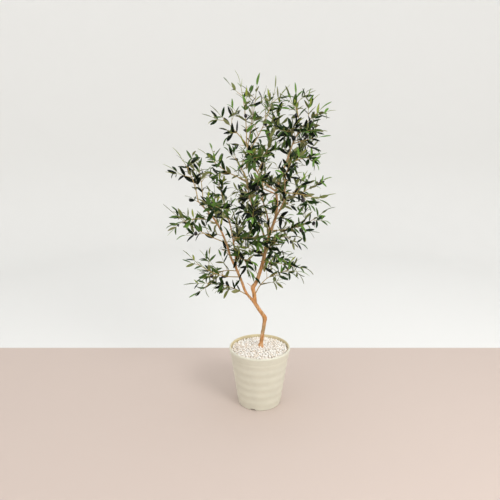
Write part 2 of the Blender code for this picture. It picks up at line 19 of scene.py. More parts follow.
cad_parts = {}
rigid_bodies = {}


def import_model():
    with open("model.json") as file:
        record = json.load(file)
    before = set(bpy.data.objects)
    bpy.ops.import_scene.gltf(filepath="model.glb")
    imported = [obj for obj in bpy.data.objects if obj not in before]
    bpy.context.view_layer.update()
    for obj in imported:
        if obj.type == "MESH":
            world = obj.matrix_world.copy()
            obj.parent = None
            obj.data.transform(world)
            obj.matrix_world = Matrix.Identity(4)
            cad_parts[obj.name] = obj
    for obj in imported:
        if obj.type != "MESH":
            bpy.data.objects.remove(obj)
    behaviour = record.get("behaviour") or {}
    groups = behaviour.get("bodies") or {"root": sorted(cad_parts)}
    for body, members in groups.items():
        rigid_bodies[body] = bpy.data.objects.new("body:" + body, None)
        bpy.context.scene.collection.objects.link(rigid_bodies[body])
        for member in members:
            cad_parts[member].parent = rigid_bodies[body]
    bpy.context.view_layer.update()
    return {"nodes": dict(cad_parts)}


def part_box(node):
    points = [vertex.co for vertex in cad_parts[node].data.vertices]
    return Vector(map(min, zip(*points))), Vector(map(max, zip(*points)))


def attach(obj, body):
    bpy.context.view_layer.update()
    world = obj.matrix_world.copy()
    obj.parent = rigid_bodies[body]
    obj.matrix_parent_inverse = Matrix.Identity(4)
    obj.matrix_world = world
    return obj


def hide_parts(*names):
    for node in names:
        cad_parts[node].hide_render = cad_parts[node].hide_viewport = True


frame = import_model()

bl_info = {
    "name": "Potted Olive Tree",
    "version": (1, 0, 0),
    "blender": (4, 5, 0),
    "location": "3D View > Sidebar > Olive Tree",
    "description": "Builds an olive tree in a ribbed pot around its fixed solids",
    "category": "Object",
}

MM = 0.001

POT_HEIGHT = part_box("pot")[1].z
MIX_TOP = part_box("potting_mix")[1].z

# ---------------------------------------------------------------- the tree's plan, as in the solids

# Girths are radii, at the foot and at the tip of each limb
TRUNK_FLARE = 0.30
TRUNK_FLARE_HEIGHT = 0.010
Limb = namedtuple("Limb", "parent along foot_girth tip_girth route")
Knot = namedtuple("Knot", "limb height bearing swell width")
LIMB_STEP = 0.030

LIMBS = {
    "trunk": Limb(None, 0, 0.0094, 0.0092, [
        (0.006, 0, 0.299), (0.014, 0, 0.370), (0.023, 0, 0.444), (0, 0, 0.489), (-0.025, 0, 0.528)]),
    "right_stem": Limb("trunk", 1, 0.0096, 0.0082, [
        (-0.027, 0, 0.562), (-0.033, 0, 0.604), (-0.012, 0.003, 0.648), (0.016, 0.012, 0.743),
        (0.031, 0.020, 0.825)]),
    "left_stem": Limb("trunk", 1, 0.0064, 0.0060, [
        (-0.068, -0.005, 0.584), (-0.085, -0.015, 0.634), (-0.115, -0.030, 0.715)]),
    "left_bough": Limb("left_stem", 1, 0.0058, 0.0032, [
        (-0.139, -0.040, 0.771), (-0.160, -0.055, 0.847), (-0.195, -0.075, 0.934),
        (-0.230, -0.090, 0.988), (-0.280, -0.110, 1.048)]),
    "left_inner_bough": Limb("left_stem", 1, 0.0045, 0.0028, [
        (-0.120, 0, 0.786), (-0.141, 0.050, 0.895), (-0.165, 0.090, 0.973)]),
    "leader": Limb("right_stem", 1, 0.0074, 0.0055, [
        (0.050, 0.030, 0.882), (0.074, 0.035, 0.951), (0.079, 0.035, 1.021), (0.073, 0.030, 1.073)]),
    "right_bough": Limb("leader", 1, 0.0050, 0.0026, [
        (0.094, 0.020, 1.140), (0.127, 0, 1.238), (0.150, -0.010, 1.309), (0.187, -0.020, 1.371)]),
    "centre_bough": Limb("right_stem", 1, 0.0048, 0.0028, [
        (0.001, -0.010, 0.914), (-0.035, -0.050, 1.007), (-0.053, -0.080, 1.075), (-0.068, -0.100, 1.158)]),
    "upper_bough": Limb("leader", 1, 0.0042, 0.0026, [
        (0.026, 0.035, 1.106), (-0.014, 0.025, 1.160), (-0.071, 0, 1.300)]),
    "middle_bough": Limb("leader", 0.94, 0.0036, 0.0026, [
        (0.016, 0, 1.087), (-0.037, -0.030, 1.111), (-0.093, -0.060, 1.145)]),
    "back_bough": Limb("leader", 0.20, 0.0042, 0.0026, [
        (0.035, 0.090, 0.945), (0.010, 0.150, 1.045), (0.025, 0.185, 1.155)]),
    "front_bough": Limb("leader", 0.45, 0.0040, 0.0026, [
        (0.090, -0.040, 1.000), (0.105, -0.110, 1.065), (0.100, -0.165, 1.150)]),
}
KNOTS = [
    Knot("trunk", 0.452, -20, 0.0055, 0.013),  # stub of a cut limb on the knee
    Knot("right_stem", 0.610, 180, 0.0040, 0.011),
    Knot("trunk", 0.304, 190, 0.0050, 0.006),  # nub of a root at the foot
]

# Reach, heading and climb lay out each stem from its limb to its tip, and bow lifts its middle.
# Leafy is how thickly the spray is clothed, 1 being usual, and age how old its leaves are, from 0 to 1.
Spray = namedtuple("Spray", "limb along reach heading climb bow olives leafy age")

SPRAYS = {
    "left_lobe": {
        "left_crest": Spray("left_bough", 1.00, 0.205, -156, 70, 0.06, 0, 0.90, 0.75),
        "left_crest_inner": Spray("left_bough", 0.90, 0.210, 113, 72, 0.04, 0, 0.50, 0.75),
        "left_reach": Spray("left_bough", 0.36, 0.300, -155, 33, -0.04, 1, 0.45, 0.50),
        "left_underside": Spray("left_bough", 0.62, 0.192, -138, 12, 0.10, 0, 0.50, 0.35),
        "left_front": Spray("left_bough", 0.78, 0.205, -76, 26, -0.05, 0, 1.20, 0.50),
        "left_shoulder": Spray("middle_bough", 1.00, 0.180, -164, 35, -0.06, 0, 1.05, 0.35),
        "middle_front": Spray("middle_bough", 0.55, 0.244, -88, 16, -0.02, 1, 0.80, 0.55),
        "inner_crest": Spray("left_inner_bough", 1.00, 0.160, 168, 73, 0.02, 0, 1.20, 0.45),
        "inner_back": Spray("left_inner_bough", 0.85, 0.225, 112, 3, -0.06, 0, 1.15, 0.65),
        "inner_low": Spray("left_inner_bough", 0.45, 0.200, 77, 13, -0.08, 0, 1.60, 0.50),
        "inner_front": Spray("left_inner_bough", 0.52, 0.175, -40, 10, -0.04, 0, 1.65, 0.40),
        "inner_foot": Spray("left_inner_bough", 0.16, 0.170, -62, 8, 0.02, 0, 0.95, 0.50),
    },
    "crown_foot": {
        "foot_left": Spray("left_stem", 0.22, 0.268, -170, 17, 0.09, 0, 0.95, 0.45),
        "foot_left_upper": Spray("left_stem", 0.76, 0.265, -161, 27, -0.11, 1, 0.60, 0.40),
        "foot_left_back": Spray("left_stem", 0.92, 0.243, 133, -20, 0.06, 0, 0.65, 0.40),
        "foot_right": Spray("right_stem", 0.12, 0.260, -16, 33, 0.18, 1, 0.55, 0.35),
        "foot_right_upper": Spray("right_stem", 0.72, 0.200, -10, -8, 0.00, 0, 0.70, 0.45),
        "foot_right_back": Spray("right_stem", 0.60, 0.220, 66, 0, 0.00, 0, 0.75, 0.60),
        "stem_front": Spray("right_stem", 0.88, 0.210, -71, 27, 0.01, 0, 1.45, 0.45),
        "stem_back": Spray("right_stem", 0.80, 0.210, 143, 10, 0.03, 0, 0.75, 0.20),
    },
    "right_lobe": {
        "right_reach": Spray("leader", 0.25, 0.265, -7, 21, -0.10, 2, 1.25, 0.40),
        "right_reach_low": Spray("leader", 0.10, 0.145, 28, -3, 0.00, 0, 1.00, 1.00),
        "right_wing": Spray("leader", 0.80, 0.240, 11, 23, -0.04, 1, 0.95, 0.45),
        "right_back": Spray("leader", 0.55, 0.258, 61, 18, 0.01, 0, 0.80, 0.70),
        "leader_back": Spray("back_bough", 0.55, 0.200, 130, 5, 0.05, 0, 1.70, 0.85),
        "front_crest": Spray("front_bough", 1.00, 0.150, -80, 40, 0.05, 0, 1.05, 0.50),
        "front_low": Spray("front_bough", 0.75, 0.170, -35, -5, 0.05, 1, 0.50, 0.70),
        "back_crest": Spray("back_bough", 1.00, 0.160, 100, 50, 0.05, 0, 0.85, 0.55),
        "back_low": Spray("back_bough", 0.75, 0.180, 50, 0, 0.05, 0, 1.15, 0.45),
    },
    "upper_crown": {
        "right_shelf": Spray("right_bough", 0.40, 0.150, -15, 18, 0.04, 0, 1.55, 0.45),
        "right_cluster": Spray("right_bough", 0.72, 0.115, 0, 14, 0.02, 0, 1.70, 1.00),
        "right_shelf_back": Spray("right_bough", 0.50, 0.230, 71, 6, -0.03, 0, 1.20, 0.55),
        "right_shelf_front": Spray("right_bough", 0.80, 0.205, -110, 11, 0.05, 0, 1.65, 0.75),
        "right_crest": Spray("right_bough", 1.00, 0.100, -8, 43, 0.00, 1, 1.15, 0.35),
        "right_crest_low": Spray("right_bough", 0.88, 0.120, -58, 8, 0.04, 1, 1.70, 0.70),
        "right_top": Spray("right_bough", 0.95, 0.158, 121, 74, -0.04, 1, 0.85, 0.40),
        "upper_crest": Spray("upper_bough", 1.00, 0.175, -163, 46, 0.01, 1, 0.75, 0.85),
        "top_left": Spray("upper_bough", 0.93, 0.280, -178, 84, 0.03, 1, 0.65, 0.30),
        "top_middle_left": Spray("upper_bough", 0.90, 0.287, 56, 74, -0.02, 0, 0.45, 0.60),
        "top_middle": Spray("upper_bough", 0.84, 0.300, -25, 65, -0.06, 2, 0.50, 0.45),
        "upper_inner": Spray("upper_bough", 0.45, 0.340, 3, 73, -0.04, 0, 1.15, 0.30),
        "upper_back": Spray("upper_bough", 0.50, 0.240, 96, 16, -0.02, 0, 0.70, 0.45),
        "upper_front": Spray("upper_bough", 0.70, 0.250, -88, 11, -0.04, 0, 1.00, 0.45),
        "centre_front": Spray("centre_bough", 0.55, 0.250, -91, 1, -0.02, 0, 1.40, 0.70),
        "centre_crest": Spray("centre_bough", 1.00, 0.110, 175, 62, -0.02, 0, 0.65, 0.70),
    },
}
ALL_SPRAYS = {name: spray for lobe in SPRAYS.values() for name, spray in lobe.items()}

STEM_STEP = 0.055  # between the points of a curve
STEM_SUNK = 0.002  # how far back a stem starts that carries on from a limb's tip
TWIG_STEP = 0.045
TWIG_EVERY = 0.062  # of stem length
TWIG_SPAN = (0.22, 0.84)  # the share of the stem that carries twigs
TWIG_REACH = 0.100
TWIG_SIZES = (0.75, 1.05)
TWIG_SHORTENING = (1.15, 0.60)  # of a twig at the stem's foot and at its tip
TWIG_LEAN = (40, 58)  # degrees from the stem
TWIG_LIFT = 0.12
TWIG_BOW = (-0.08, 0.02)
OLIVE_FIRST = 0.55  # share of the stem where the first olive hangs, and from one to the next
OLIVE_SPACING = 0.25
OLIVE_STALK = 0.012
GOLDEN_ANGLE = math.radians(137.5)  # from one branch to the next, round what carries them

# ---------------------------------------------------------------- finer than the solids

FINE_STEP = 0.006  # between the rings of limbs and shoots

# A kind of shoot: its radii, the bare length at its foot, its sides, the share of it that is woody,
# and the size of its leaves and of the one at its tip
Kind = namedtuple("Kind", "foot_girth tip_girth bare sides woody leaf tip_leaf")
STEM = Kind(0.0025, 0.0009, 0.035, 8, 0.80, 1.00, 1.00)
TWIG = Kind(0.0014, 0.0007, 0.010, 5, 0.35, 0.95, 0.80)
SIDE_SHOOT = Kind(0.0009, 0.0006, 0.006, 5, 0.00, 0.82, 0.75)
BOUGH_SHOOT = Kind(0.0015, 0.0007, 0.012, 5, 0.35, 0.95, 0.80)
Shoot = namedtuple("Shoot", "kind curve leafy age")
SHOOT_STEP = 0.020

# Side shoots, on the twigs
SIDE_SHOOT_COUNTS = (0, 1, 1)
SIDE_SHOOT_SPAN = (0.30, 0.50)  # the share of the twig that carries them
SIDE_SHOOT_SIZES = (0.38, 0.60)  # of the twig's length
SIDE_SHOOT_LEAN = (35, 50)
SIDE_SHOOT_LIFT = 0.10
SIDE_SHOOT_BOW = (-0.06, 0.04)

# Short shoots, straight from the limbs above a height
LEAFY_ABOVE = 0.64
BOUGH_SHOOT_EVERY = 0.036
BOUGH_SHOOT_PLACES = (0.2, 0.8)  # where each grows on its stretch of the limb
BOUGH_SHOOT_REACH = 0.060
BOUGH_SHOOT_SIZES = (0.7, 1.3)
BOUGH_SHOOT_LEAN = (40, 65)
BOUGH_SHOOT_BOW = (-0.10, 0.02)
BOUGH_LEAFY = 1.2
BOUGH_AGE = 0.75


# ---------------------------------------------------------------- colours and materials

PATCH_SPAN = (0.30, 0.70)  # of the noise, from the first colour to the last


def linear(code):
    """Linear RGB from an sRGB hex colour such as #D8CFBC."""
    channels = [int(code[i : i + 2], 16) / 255 for i in (1, 3, 5)]
    return [c / 12.92 if c <= 0.04045 else ((c + 0.055) / 1.055) ** 2.4 for c in channels]


def add_node(tree, kind, inputs, stops=(), **settings):
    """Adds one node. A socket given as an input is linked, any other value is set. Stops fill a ramp."""
    made = tree.nodes.new(kind)
    for name, value in settings.items():
        setattr(made, name, value)
    for name, value in inputs.items():
        if isinstance(value, bpy.types.NodeSocket):
            tree.links.new(value, made.inputs[name])
        else:
            made.inputs[name].default_value = value
    for i, (place, colour) in enumerate(stops):
        stop = made.color_ramp.elements[i] if i < 2 else made.color_ramp.elements.new(place)
        stop.position = place
        stop.color = (*colour, 1)
    return made


def new_material(name, roughness, **sockets):
    """A material with its shader, and the object coordinates that its patterns read."""
    material = bpy.data.materials.new(name)
    material.use_nodes = True
    tree = material.node_tree
    shader = tree.nodes["Principled BSDF"]
    shader.inputs["Roughness"].default_value = roughness
    for socket, value in sockets.items():
        shader.inputs[socket.replace("_", " ")].default_value = value
    place = add_node(tree, "ShaderNodeTexCoord", {}).outputs["Object"]
    return material, tree, shader, place


def mottle(tree, shader, place, size, colours, bump=0.0, detail=3.0):
    """Patches size metres across that pick among the colours, and lift the surface by bump metres."""
    spots = add_node(tree, "ShaderNodeTexNoise", {"Vector": place, "Scale": 1 / size, "Detail": detail})
    stops = [
        (between(*PATCH_SPAN, i / (len(colours) - 1)), colour) for i, colour in enumerate(colours)]
    ramp = add_node(tree, "ShaderNodeValToRGB", {"Fac": spots.outputs["Fac"]}, stops)
    tree.links.new(ramp.outputs["Color"], shader.inputs["Base Color"])
    if bump:
        relief = add_node(tree, "ShaderNodeBump", {"Height": spots.outputs["Fac"], "Distance": bump})
        tree.links.new(relief.outputs["Normal"], shader.inputs["Normal"])


def mottled(name, roughness, colour, size, shades, bump=0.0, **sockets):
    """A material of one colour in darker and lighter patches, size metres across."""
    material, tree, shader, place = new_material(name, roughness, **sockets)
    mottle(tree, shader, place, size, [Vector(colour) * shade for shade in shades], bump)
    return material


def moulded_polypropylene(settings):
    # Injection-moulded polypropylene: an even, slightly waxy satin skin with a faint flow mottle.
    # Inside the rim it is matter, and browner with painted shade, where the inner wall lies in shadow.
    finishes = (("", 0.42, settings.plastic), (" with painted shade inside", 0.6, settings.shade_inside))
    return [
        mottled("moulded polypropylene" + name, roughness, colour, 60 * MM,
                (0.96, 1, 1.03), 0.4 * MM, IOR=1.49)
        for name, roughness, colour in finishes]


def damp_compost():
    # Potting compost: dark, fibrous and damp, broken into crumbs of about 4 mm.
    material, tree, shader, place = new_material("damp compost", 0.9)
    mottle(tree, shader, place, 4 * MM, [linear("#1E140D"), linear("#3A2A1C"), linear("#5A452F")], 2 * MM, 6)
    return material


def tumbled_marble(settings):
    # Tumbled white marble chips: chalky and matt, each stone a little warmer or greyer than the next.
    return [
        mottled("tumbled marble " + name, 0.62, getattr(settings, name), 6 * MM, (0.90, 1, 1.04), 0.5 * MM)
        for name in STONES]


def young_olive_bark(settings):
    # Bark of a young olive, still smooth: orange-tan, with greyer streaks along the limb and fine
    # wrinkles across it. It turns to olive-grey as the limbs rise and thin.
    material, tree, shader, place = new_material("young olive bark", 0.68)
    stretched = add_node(tree, "ShaderNodeMapping", {"Vector": place, "Scale": (1, 1, 0.22)})
    streaks = add_node(tree, "ShaderNodeTexNoise", {
        "Vector": stretched.outputs["Vector"], "Scale": 1 / (7 * MM), "Detail": 5.0})
    patches = add_node(tree, "ShaderNodeTexNoise", {
        "Vector": place, "Scale": 1 / (45 * MM), "Detail": 2.0})
    tones = [(0.32, linear("#8D6A45")), (0.50, Vector(settings.bark)), (0.68, linear("#D6B490"))]
    tone = add_node(tree, "ShaderNodeValToRGB", {"Fac": streaks.outputs["Fac"]}, tones)
    height = add_node(tree, "ShaderNodeSeparateXYZ", {"Vector": place}).outputs["Z"]
    aloft = add_node(tree, "ShaderNodeMapRange", {
        "Value": height, "From Min": 0.75, "From Max": 1.25, "To Max": 0.30})
    mixture = add_node(tree, "ShaderNodeMath", {0: patches.outputs["Fac"], 1: aloft.outputs["Result"]})
    share = add_node(tree, "ShaderNodeMapRange", {
        "Value": mixture.outputs[0], "From Min": 0.45, "From Max": 0.75, "To Max": 0.75})
    mixed = add_node(tree, "ShaderNodeMix", {
        "Factor": share.outputs["Result"], 6: tone.outputs["Color"], 7: (*linear("#9A8A66"), 1)},
        data_type="RGBA")
    tree.links.new(mixed.outputs[2], shader.inputs["Base Color"])
    squashed = add_node(tree, "ShaderNodeMapping", {"Vector": place, "Scale": (0.5, 0.5, 2.5)})
    wrinkles = add_node(tree, "ShaderNodeTexNoise", {
        "Vector": squashed.outputs["Vector"], "Scale": 1 / (3 * MM), "Detail": 3.0})
    lifts = add_node(tree, "ShaderNodeMath", {0: streaks.outputs["Fac"], 1: wrinkles.outputs["Fac"]})
    relief = add_node(tree, "ShaderNodeBump", {"Height": lifts.outputs[0], "Distance": 0.6 * MM})
    tree.links.new(relief.outputs["Normal"], shader.inputs["Normal"])
    return material


def shoot_bark(settings):
    # Bark of shoots in their first and second year: olive-buff where it has turned woody, green at the tips.
    return [
        mottled(name, 0.6, colour, 9 * MM, (0.75, 1, 1.2), 0.2 * MM)
        for name, colour in (("woody shoot", settings.woody_shoot), ("green shoot", settings.green_shoot))]


def leaf_cuticles(settings):
    # Waxed upper leaf skins: dark and glossy on last year's leaves, softer and yellower on new ones. The
    # darkest, near black, is partly painted shade.
    tops = [
        mottled("waxed leaf skin " + name, settings.leaf_roughness, getattr(settings, name), 12 * MM,
                (0.85, 1, 1.2), Specular_IOR_Level=0.12)
        for name in LEAF_TOPS]
    # Felted undersides: matt, covered in tiny silvery scales.
    unders = [
        mottled("felted leaf underside " + name, 0.75, getattr(settings, name), 5 * MM,
                (0.9, 1, 1.1), Specular_IOR_Level=0.15)
        for name in LEAF_UNDERS]
    return tops + unders


def olive_skins(settings):
    # Olive skins: taut, waxy and finely dotted, green when unripe and purple-black when ripe.
    return [
        mottled("waxy olive skin " + name, 0.32, getattr(settings, name), 3 * MM, (0.8, 1, 1.3))
        for name in OLIVE_SKINS]


# ---------------------------------------------------------------- curves


def between(start, end, share):
    """The value at a share of the way from start to end."""
    return start + (end - start) * share


def smooth_route(points, step):
    """Points about step apart on a smooth curve through the given ones."""
    points = [Vector(p) for p in points]
    ends = [2 * points[0] - points[1]] + points + [2 * points[-1] - points[-2]]
    curve = []
    for before, start, end, after in zip(ends, ends[1:], ends[2:], ends[3:]):
        pieces = max(1, round((end - start).length / step))
        for i in range(pieces):
            t = i / pieces
            bend = (2 * before - 5 * start + 4 * end - after) * t * t
            turn = (3 * start - before - 3 * end + after) * t**3
            curve.append(0.5 * (2 * start + (end - before) * t + bend + turn))
    return curve + [points[-1]]


def distances(curve):
    """How far along the curve each of its points lies."""
    total = [0.0]
    for a, b in zip(curve, curve[1:]):
        total.append(total[-1] + (b - a).length)
    return total


def heading_at(curve, i):
    """The direction of a curve at one of its points, by number."""
    return (curve[min(i + 1, len(curve) - 1)] - curve[max(i - 1, 0)]).normalized()


def point_at(curve, share):
    """The point at a share of the curve's length, and the direction there."""
    total = distances(curve)
    reach = share * total[-1]
    for i in range(1, len(curve)):
        if reach <= total[i] or i == len(curve) - 1:
            step = curve[i] - curve[i - 1]
            return curve[i - 1] + step * ((reach - total[i - 1]) / step.length), step.normalized()


def arc(start, tip, bow, step):
    """A curve from start to tip whose middle stands off the chord by bow times its length, upwards."""
    chord = tip - start
    sideways = chord.cross(Vector((0, 0, 1))).normalized()
    lift = sideways.cross(chord).normalized() * chord.length * bow
    control = (start + tip) / 2 + 2 * lift
    count = max(2, round(chord.length / step))
    shares = [i / count for i in range(count + 1)]
    return [start * (1 - t) ** 2 + control * 2 * t * (1 - t) + tip * t * t for t in shares]


def towards(heading, climb):
    """Unit vector at a heading from +X and a climb from level, in degrees."""
    heading, climb = math.radians(heading), math.radians(climb)
    level = Vector((math.cos(heading), math.sin(heading), 0))
    return level * math.cos(climb) + Vector((0, 0, math.sin(climb)))


def square_to(direction):
    """A unit vector square to the direction, and upward of it where it can be."""
    across = direction.cross(Vector((0, 0, 1)))
    if across.length < 1e-4:
        across = Vector((1, 0, 0))
    return across.cross(direction).normalized()


def branch_way(ahead, turn, lean, lift=0):
    """The way that a branch takes: turned about ahead, leaning lean degrees off it, and lifted a little."""
    outward = Matrix.Rotation(turn, 3, ahead) @ square_to(ahead)
    lean = math.radians(lean)
    return (ahead * math.cos(lean) + outward * math.sin(lean) + Vector((0, 0, lift))).normalized()


# ---------------------------------------------------------------- meshes


class Bunch:
    """Many small closed shapes gathered into one mesh, each face with its material's number."""

    def __init__(self):
        self.points = []
        self.faces = []
        self.slots = []

    def add(self, points, faces, slots):
        first = len(self.points)
        self.points += [tuple(p) for p in points]
        self.faces += [tuple(first + i for i in face) for face in faces]
        self.slots += slots if isinstance(slots, list) else [slots] * len(faces)

    def make(self, name, materials, sharp=60):
        """The scene object, smooth except at edges sharper than the angle in degrees."""
        mesh = bpy.data.meshes.new(name)
        mesh.from_pydata(self.points, [], self.faces)
        for material in materials:
            mesh.materials.append(material)
        mesh.polygons.foreach_set("material_index", self.slots)
        mesh.shade_smooth()
        mesh.set_sharp_from_angle(angle=math.radians(sharp))
        made = bpy.data.objects.new(name, mesh)
        bpy.context.scene.collection.objects.link(made)
        return made


def ring_faces(rings, sides, first=0):
    """The faces between rings of points, which follow one another from the first point."""
    faces = []
    for low in range(first, first + (rings - 1) * sides, sides):
        for k in range(sides):
            n = (k + 1) % sides
            faces.append((low + k, low + n, low + sides + n, low + sides + k))
    return faces


def tube(curve, girths, sides, swell=None):
    """The points and faces of a closed tube along a curve. swell(point, outward) adds to the radius."""
    points = []
    up = square_to(curve[1] - curve[0])
    for i, centre in enumerate(curve):
        ahead = heading_at(curve, i)
        up = (up - ahead * up.dot(ahead)).normalized()
        across = ahead.cross(up)
        for k in range(sides):
            angle = 2 * math.pi * k / sides
            outward = up * math.cos(angle) + across * math.sin(angle)
            points.append(centre + outward * (girths[i] + (swell(centre, outward) if swell else 0)))
    faces = ring_faces(len(curve), sides)
    last = (len(curve) - 1) * sides
    faces.append(tuple(range(sides - 1, -1, -1)))
    faces.append(tuple(range(last, last + sides)))
    return points, faces


def new_object(name, bm):
    """The scene object of a finished bmesh."""
    mesh = bpy.data.meshes.new(name)
    bm.to_mesh(mesh)
    bm.free()
    made = bpy.data.objects.new(name, mesh)
    bpy.context.scene.collection.objects.link(made)
    return made


def turned(profile, sides):
    """The bmesh that (radius, height) points make when they are turned about the Z axis."""
    bm = bmesh.new()
    points = [bm.verts.new((radius, 0, height)) for radius, height in profile]
    edges = [bm.edges.new(pair) for pair in zip(points, points[1:])]
    bmesh.ops.spin(bm, geom=points + edges, cent=(0, 0, 0), axis=(0, 0, 1), angle=2 * math.pi, steps=sides)
    bmesh.ops.remove_doubles(bm, verts=bm.verts, dist=1e-6)
    return bm


def baked(body):
    """Applies the object's modifiers for good."""
    graph = bpy.context.evaluated_depsgraph_get()
    mesh = bpy.data.meshes.new_from_object(body.evaluated_get(graph))
    body.modifiers.clear()
    worn = body.data
    body.data = mesh
    bpy.data.meshes.remove(worn)
    return body


def settle(piece, slot, *nodes):
    """The piece rides on the tree's one body and stands for the nodes, which it hides. The slot is not used.
    """
    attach(piece, "root")
    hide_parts(*nodes)


# ---------------------------------------------------------------- growth


def limb_curves():
    """Each limb's centre line, from its parent's axis to its tip."""
    curves = {}
    for name, limb in LIMBS.items():
        route = [Vector(p) for p in limb.route]
        if limb.parent:
            start, _ = point_at(curves[limb.parent], limb.along)
            route.insert(0, start)
        curves[name] = smooth_route(route, LIMB_STEP)
    return curves


def limb_girth(name, share, reach):
    """The radius at a share of a limb's length: an even taper, with a flare at the trunk's foot."""
    limb = LIMBS[name]
    girth = between(limb.foot_girth, limb.tip_girth, share)
    if limb.parent is None:
        return girth * (1 + TRUNK_FLARE * math.exp(-reach / TRUNK_FLARE_HEIGHT))
    return girth


def knot_swell(name):
    """The bumps that old cut limbs leave on a limb."""
    knots = [knot for knot in KNOTS if knot.limb == name]

    def swell(point, outward):
        total = 0
        for knot in knots:
            facing = max(0, outward.dot(towards(knot.bearing, 0)))
            total += knot.swell * facing**2 * math.exp(-(((point.z - knot.height) / knot.width) ** 2))
        return total

    return swell


class Wood:
    """The limbs' axes as a search tree, so that leaves keep clear of the wood and bark follows its limb."""

    def __init__(self, curves):
        self.samples = []
        for name, curve in curves.items():
            fine = smooth_route(curve, FINE_STEP)
            reaches = distances(fine)
            for i, point in enumerate(fine):
                girth = limb_girth(name, reaches[i] / reaches[-1], reaches[i])
                self.samples.append((point, heading_at(fine, i), girth, reaches[i]))
        self.tree = KDTree(len(self.samples))
        for i, sample in enumerate(self.samples):
            self.tree.insert(sample[0], i)
        self.tree.balance()

    def nearest(self, point):
        """(distance, axis point, direction, girth, reach) of the limb nearest to a point."""
        _, i, distance = self.tree.find(point)
        return (distance, *self.samples[i])

    def clear(self, points, margin):
        """Whether every point keeps the margin from the wood's surface."""
        for point in points:
            distance, _, _, girth, _ = self.nearest(point)
            if distance < girth + margin:
                return False
        return True


def stem_curves(curves):
    """Each spray's stem, from the axis of its limb."""
    stems = {}
    for name, spray in ALL_SPRAYS.items():
        start, ahead = point_at(curves[spray.limb], spray.along)
        tip = start + towards(spray.heading, spray.climb) * spray.reach
        if spray.along == 1:
            start = start - ahead * STEM_SUNK
        stems[name] = arc(start, tip, spray.bow, STEM_STEP)
    return stems


def twig_curves(name, stem):
    """The side twigs of a stem: turned by the golden angle from one to the next."""
    draw = random.Random("twigs of " + name)
    count = max(2, round(distances(stem)[-1] / TWIG_EVERY))
    roll = draw.uniform(0, 2 * math.pi)
    twigs = []
    for i in range(count):
        share = between(*TWIG_SPAN, (i + 0.5) / count)
        start, ahead = point_at(stem, share)
        way = branch_way(ahead, roll + i * GOLDEN_ANGLE, draw.uniform(*TWIG_LEAN), TWIG_LIFT)
        reach = TWIG_REACH * draw.uniform(*TWIG_SIZES) * between(*TWIG_SHORTENING, share)
        twigs.append(arc(start, start + way * reach, draw.uniform(*TWIG_BOW), TWIG_STEP))
    return twigs


def side_shoots(twig, draw):
    """The finer shoots of a twig, by the same rule at a smaller size."""
    length = distances(twig)[-1]
    roll = draw.uniform(0, 2 * math.pi)
    shoots = []
    for i in range(draw.choice(SIDE_SHOOT_COUNTS)):
        start, ahead = point_at(twig, draw.uniform(*SIDE_SHOOT_SPAN))
        way = branch_way(ahead, roll + i * GOLDEN_ANGLE, draw.uniform(*SIDE_SHOOT_LEAN), SIDE_SHOOT_LIFT)
        tip = start + way * length * draw.uniform(*SIDE_SHOOT_SIZES)
        shoots.append(arc(start, tip, draw.uniform(*SIDE_SHOOT_BOW), SHOOT_STEP))
    return shoots


def bough_shoots(name, limb_curve):
    """The short shoots that grow straight from a limb where it runs through the crown."""
    draw = random.Random("shoots of " + name)
    count = int(distances(limb_curve)[-1] / BOUGH_SHOOT_EVERY)
    roll = draw.uniform(0, 2 * math.pi)
    shoots = []
    for i in range(count):
        start, ahead = point_at(limb_curve, (i + draw.uniform(*BOUGH_SHOOT_PLACES)) / count)
        if start.z < LEAFY_ABOVE:
            continue
        way = branch_way(ahead, roll + i * GOLDEN_ANGLE, draw.uniform(*BOUGH_SHOOT_LEAN))
        tip = start + way * BOUGH_SHOOT_REACH * draw.uniform(*BOUGH_SHOOT_SIZES)
        curve = arc(start, tip, draw.uniform(*BOUGH_SHOOT_BOW), SHOOT_STEP)
        shoots.append(Shoot(BOUGH_SHOOT, curve, BOUGH_LEAFY, BOUGH_AGE))
    return shoots


def spray_shoots(name, spray, stem):
    """Every shoot of a spray: its stem, the twigs and their side shoots."""
    draw = random.Random("side shoots of " + name)
    grown = [(STEM, stem)]
    for twig in twig_curves(name, stem):
        grown.append((TWIG, twig))
        grown += [(SIDE_SHOOT, curve) for curve in side_shoots(twig, draw)]
    return [Shoot(kind, curve, spray.leafy, spray.age) for kind, curve in grown]


def lobe_shoots(sprays, stems, curves):
    """Every shoot of a lobe of the crown: those of its sprays, and of the limbs that carry them."""
    shoots = []
    for name, spray in sprays.items():
        shoots += spray_shoots(name, spray, stems[name])
    for limb in sorted({spray.limb for spray in sprays.values()} - taken_limbs(sprays)):
        shoots += bough_shoots(limb, curves[limb])
    return shoots


def taken_limbs(sprays):
    """The limbs whose shoots belong to an earlier lobe."""
    taken = set()
    for others in SPRAYS.values():
        if others is sprays:
            return taken
        taken |= {spray.limb for spray in others.values()}


# ---------------------------------------------------------------- pot and pebbles

POT_WAIST_HEIGHT = 0.262
POT_WAIST_RADIUS = 0.1455
POT_WALL = 0.005
POT_FLOOR = 0.012
POT_SIDES = 144
POT_SMOOTH_ANGLE = 50
RIM_FLARE_POWER = 0.7
LIP_THICKNESS = 0.011
LIP_DEPTH = 0.009
LIP_TURNS = range(0, 181, 15)  # degrees round the rolled lip
RIB_TOP_CREST = 0.254
RIBBED_RINGS = 90
RIB_FADE_FOOT = 0.020  # the ribs die out over this height at the foot
RIB_FADE_COLLAR = 0.008  # and over this one under the collar
RIB_REST = 0.01  # share of their depth that is left there
COLLAR_RINGS = 8
INNER_LIP = 0.010  # how far above the waist the inner wall starts
FOOT_ROUNDING = 0.004
FOOT_TURNS = range(0, 91, 30)
NOTCH_COUNT = 4
NOTCH_WIDTH = 0.028
NOTCH_HEIGHT = 0.009
NOTCH_DEPTH = 0.016
NOTCH_ROUNDING = 0.003
NOTCH_TURN = 108.0
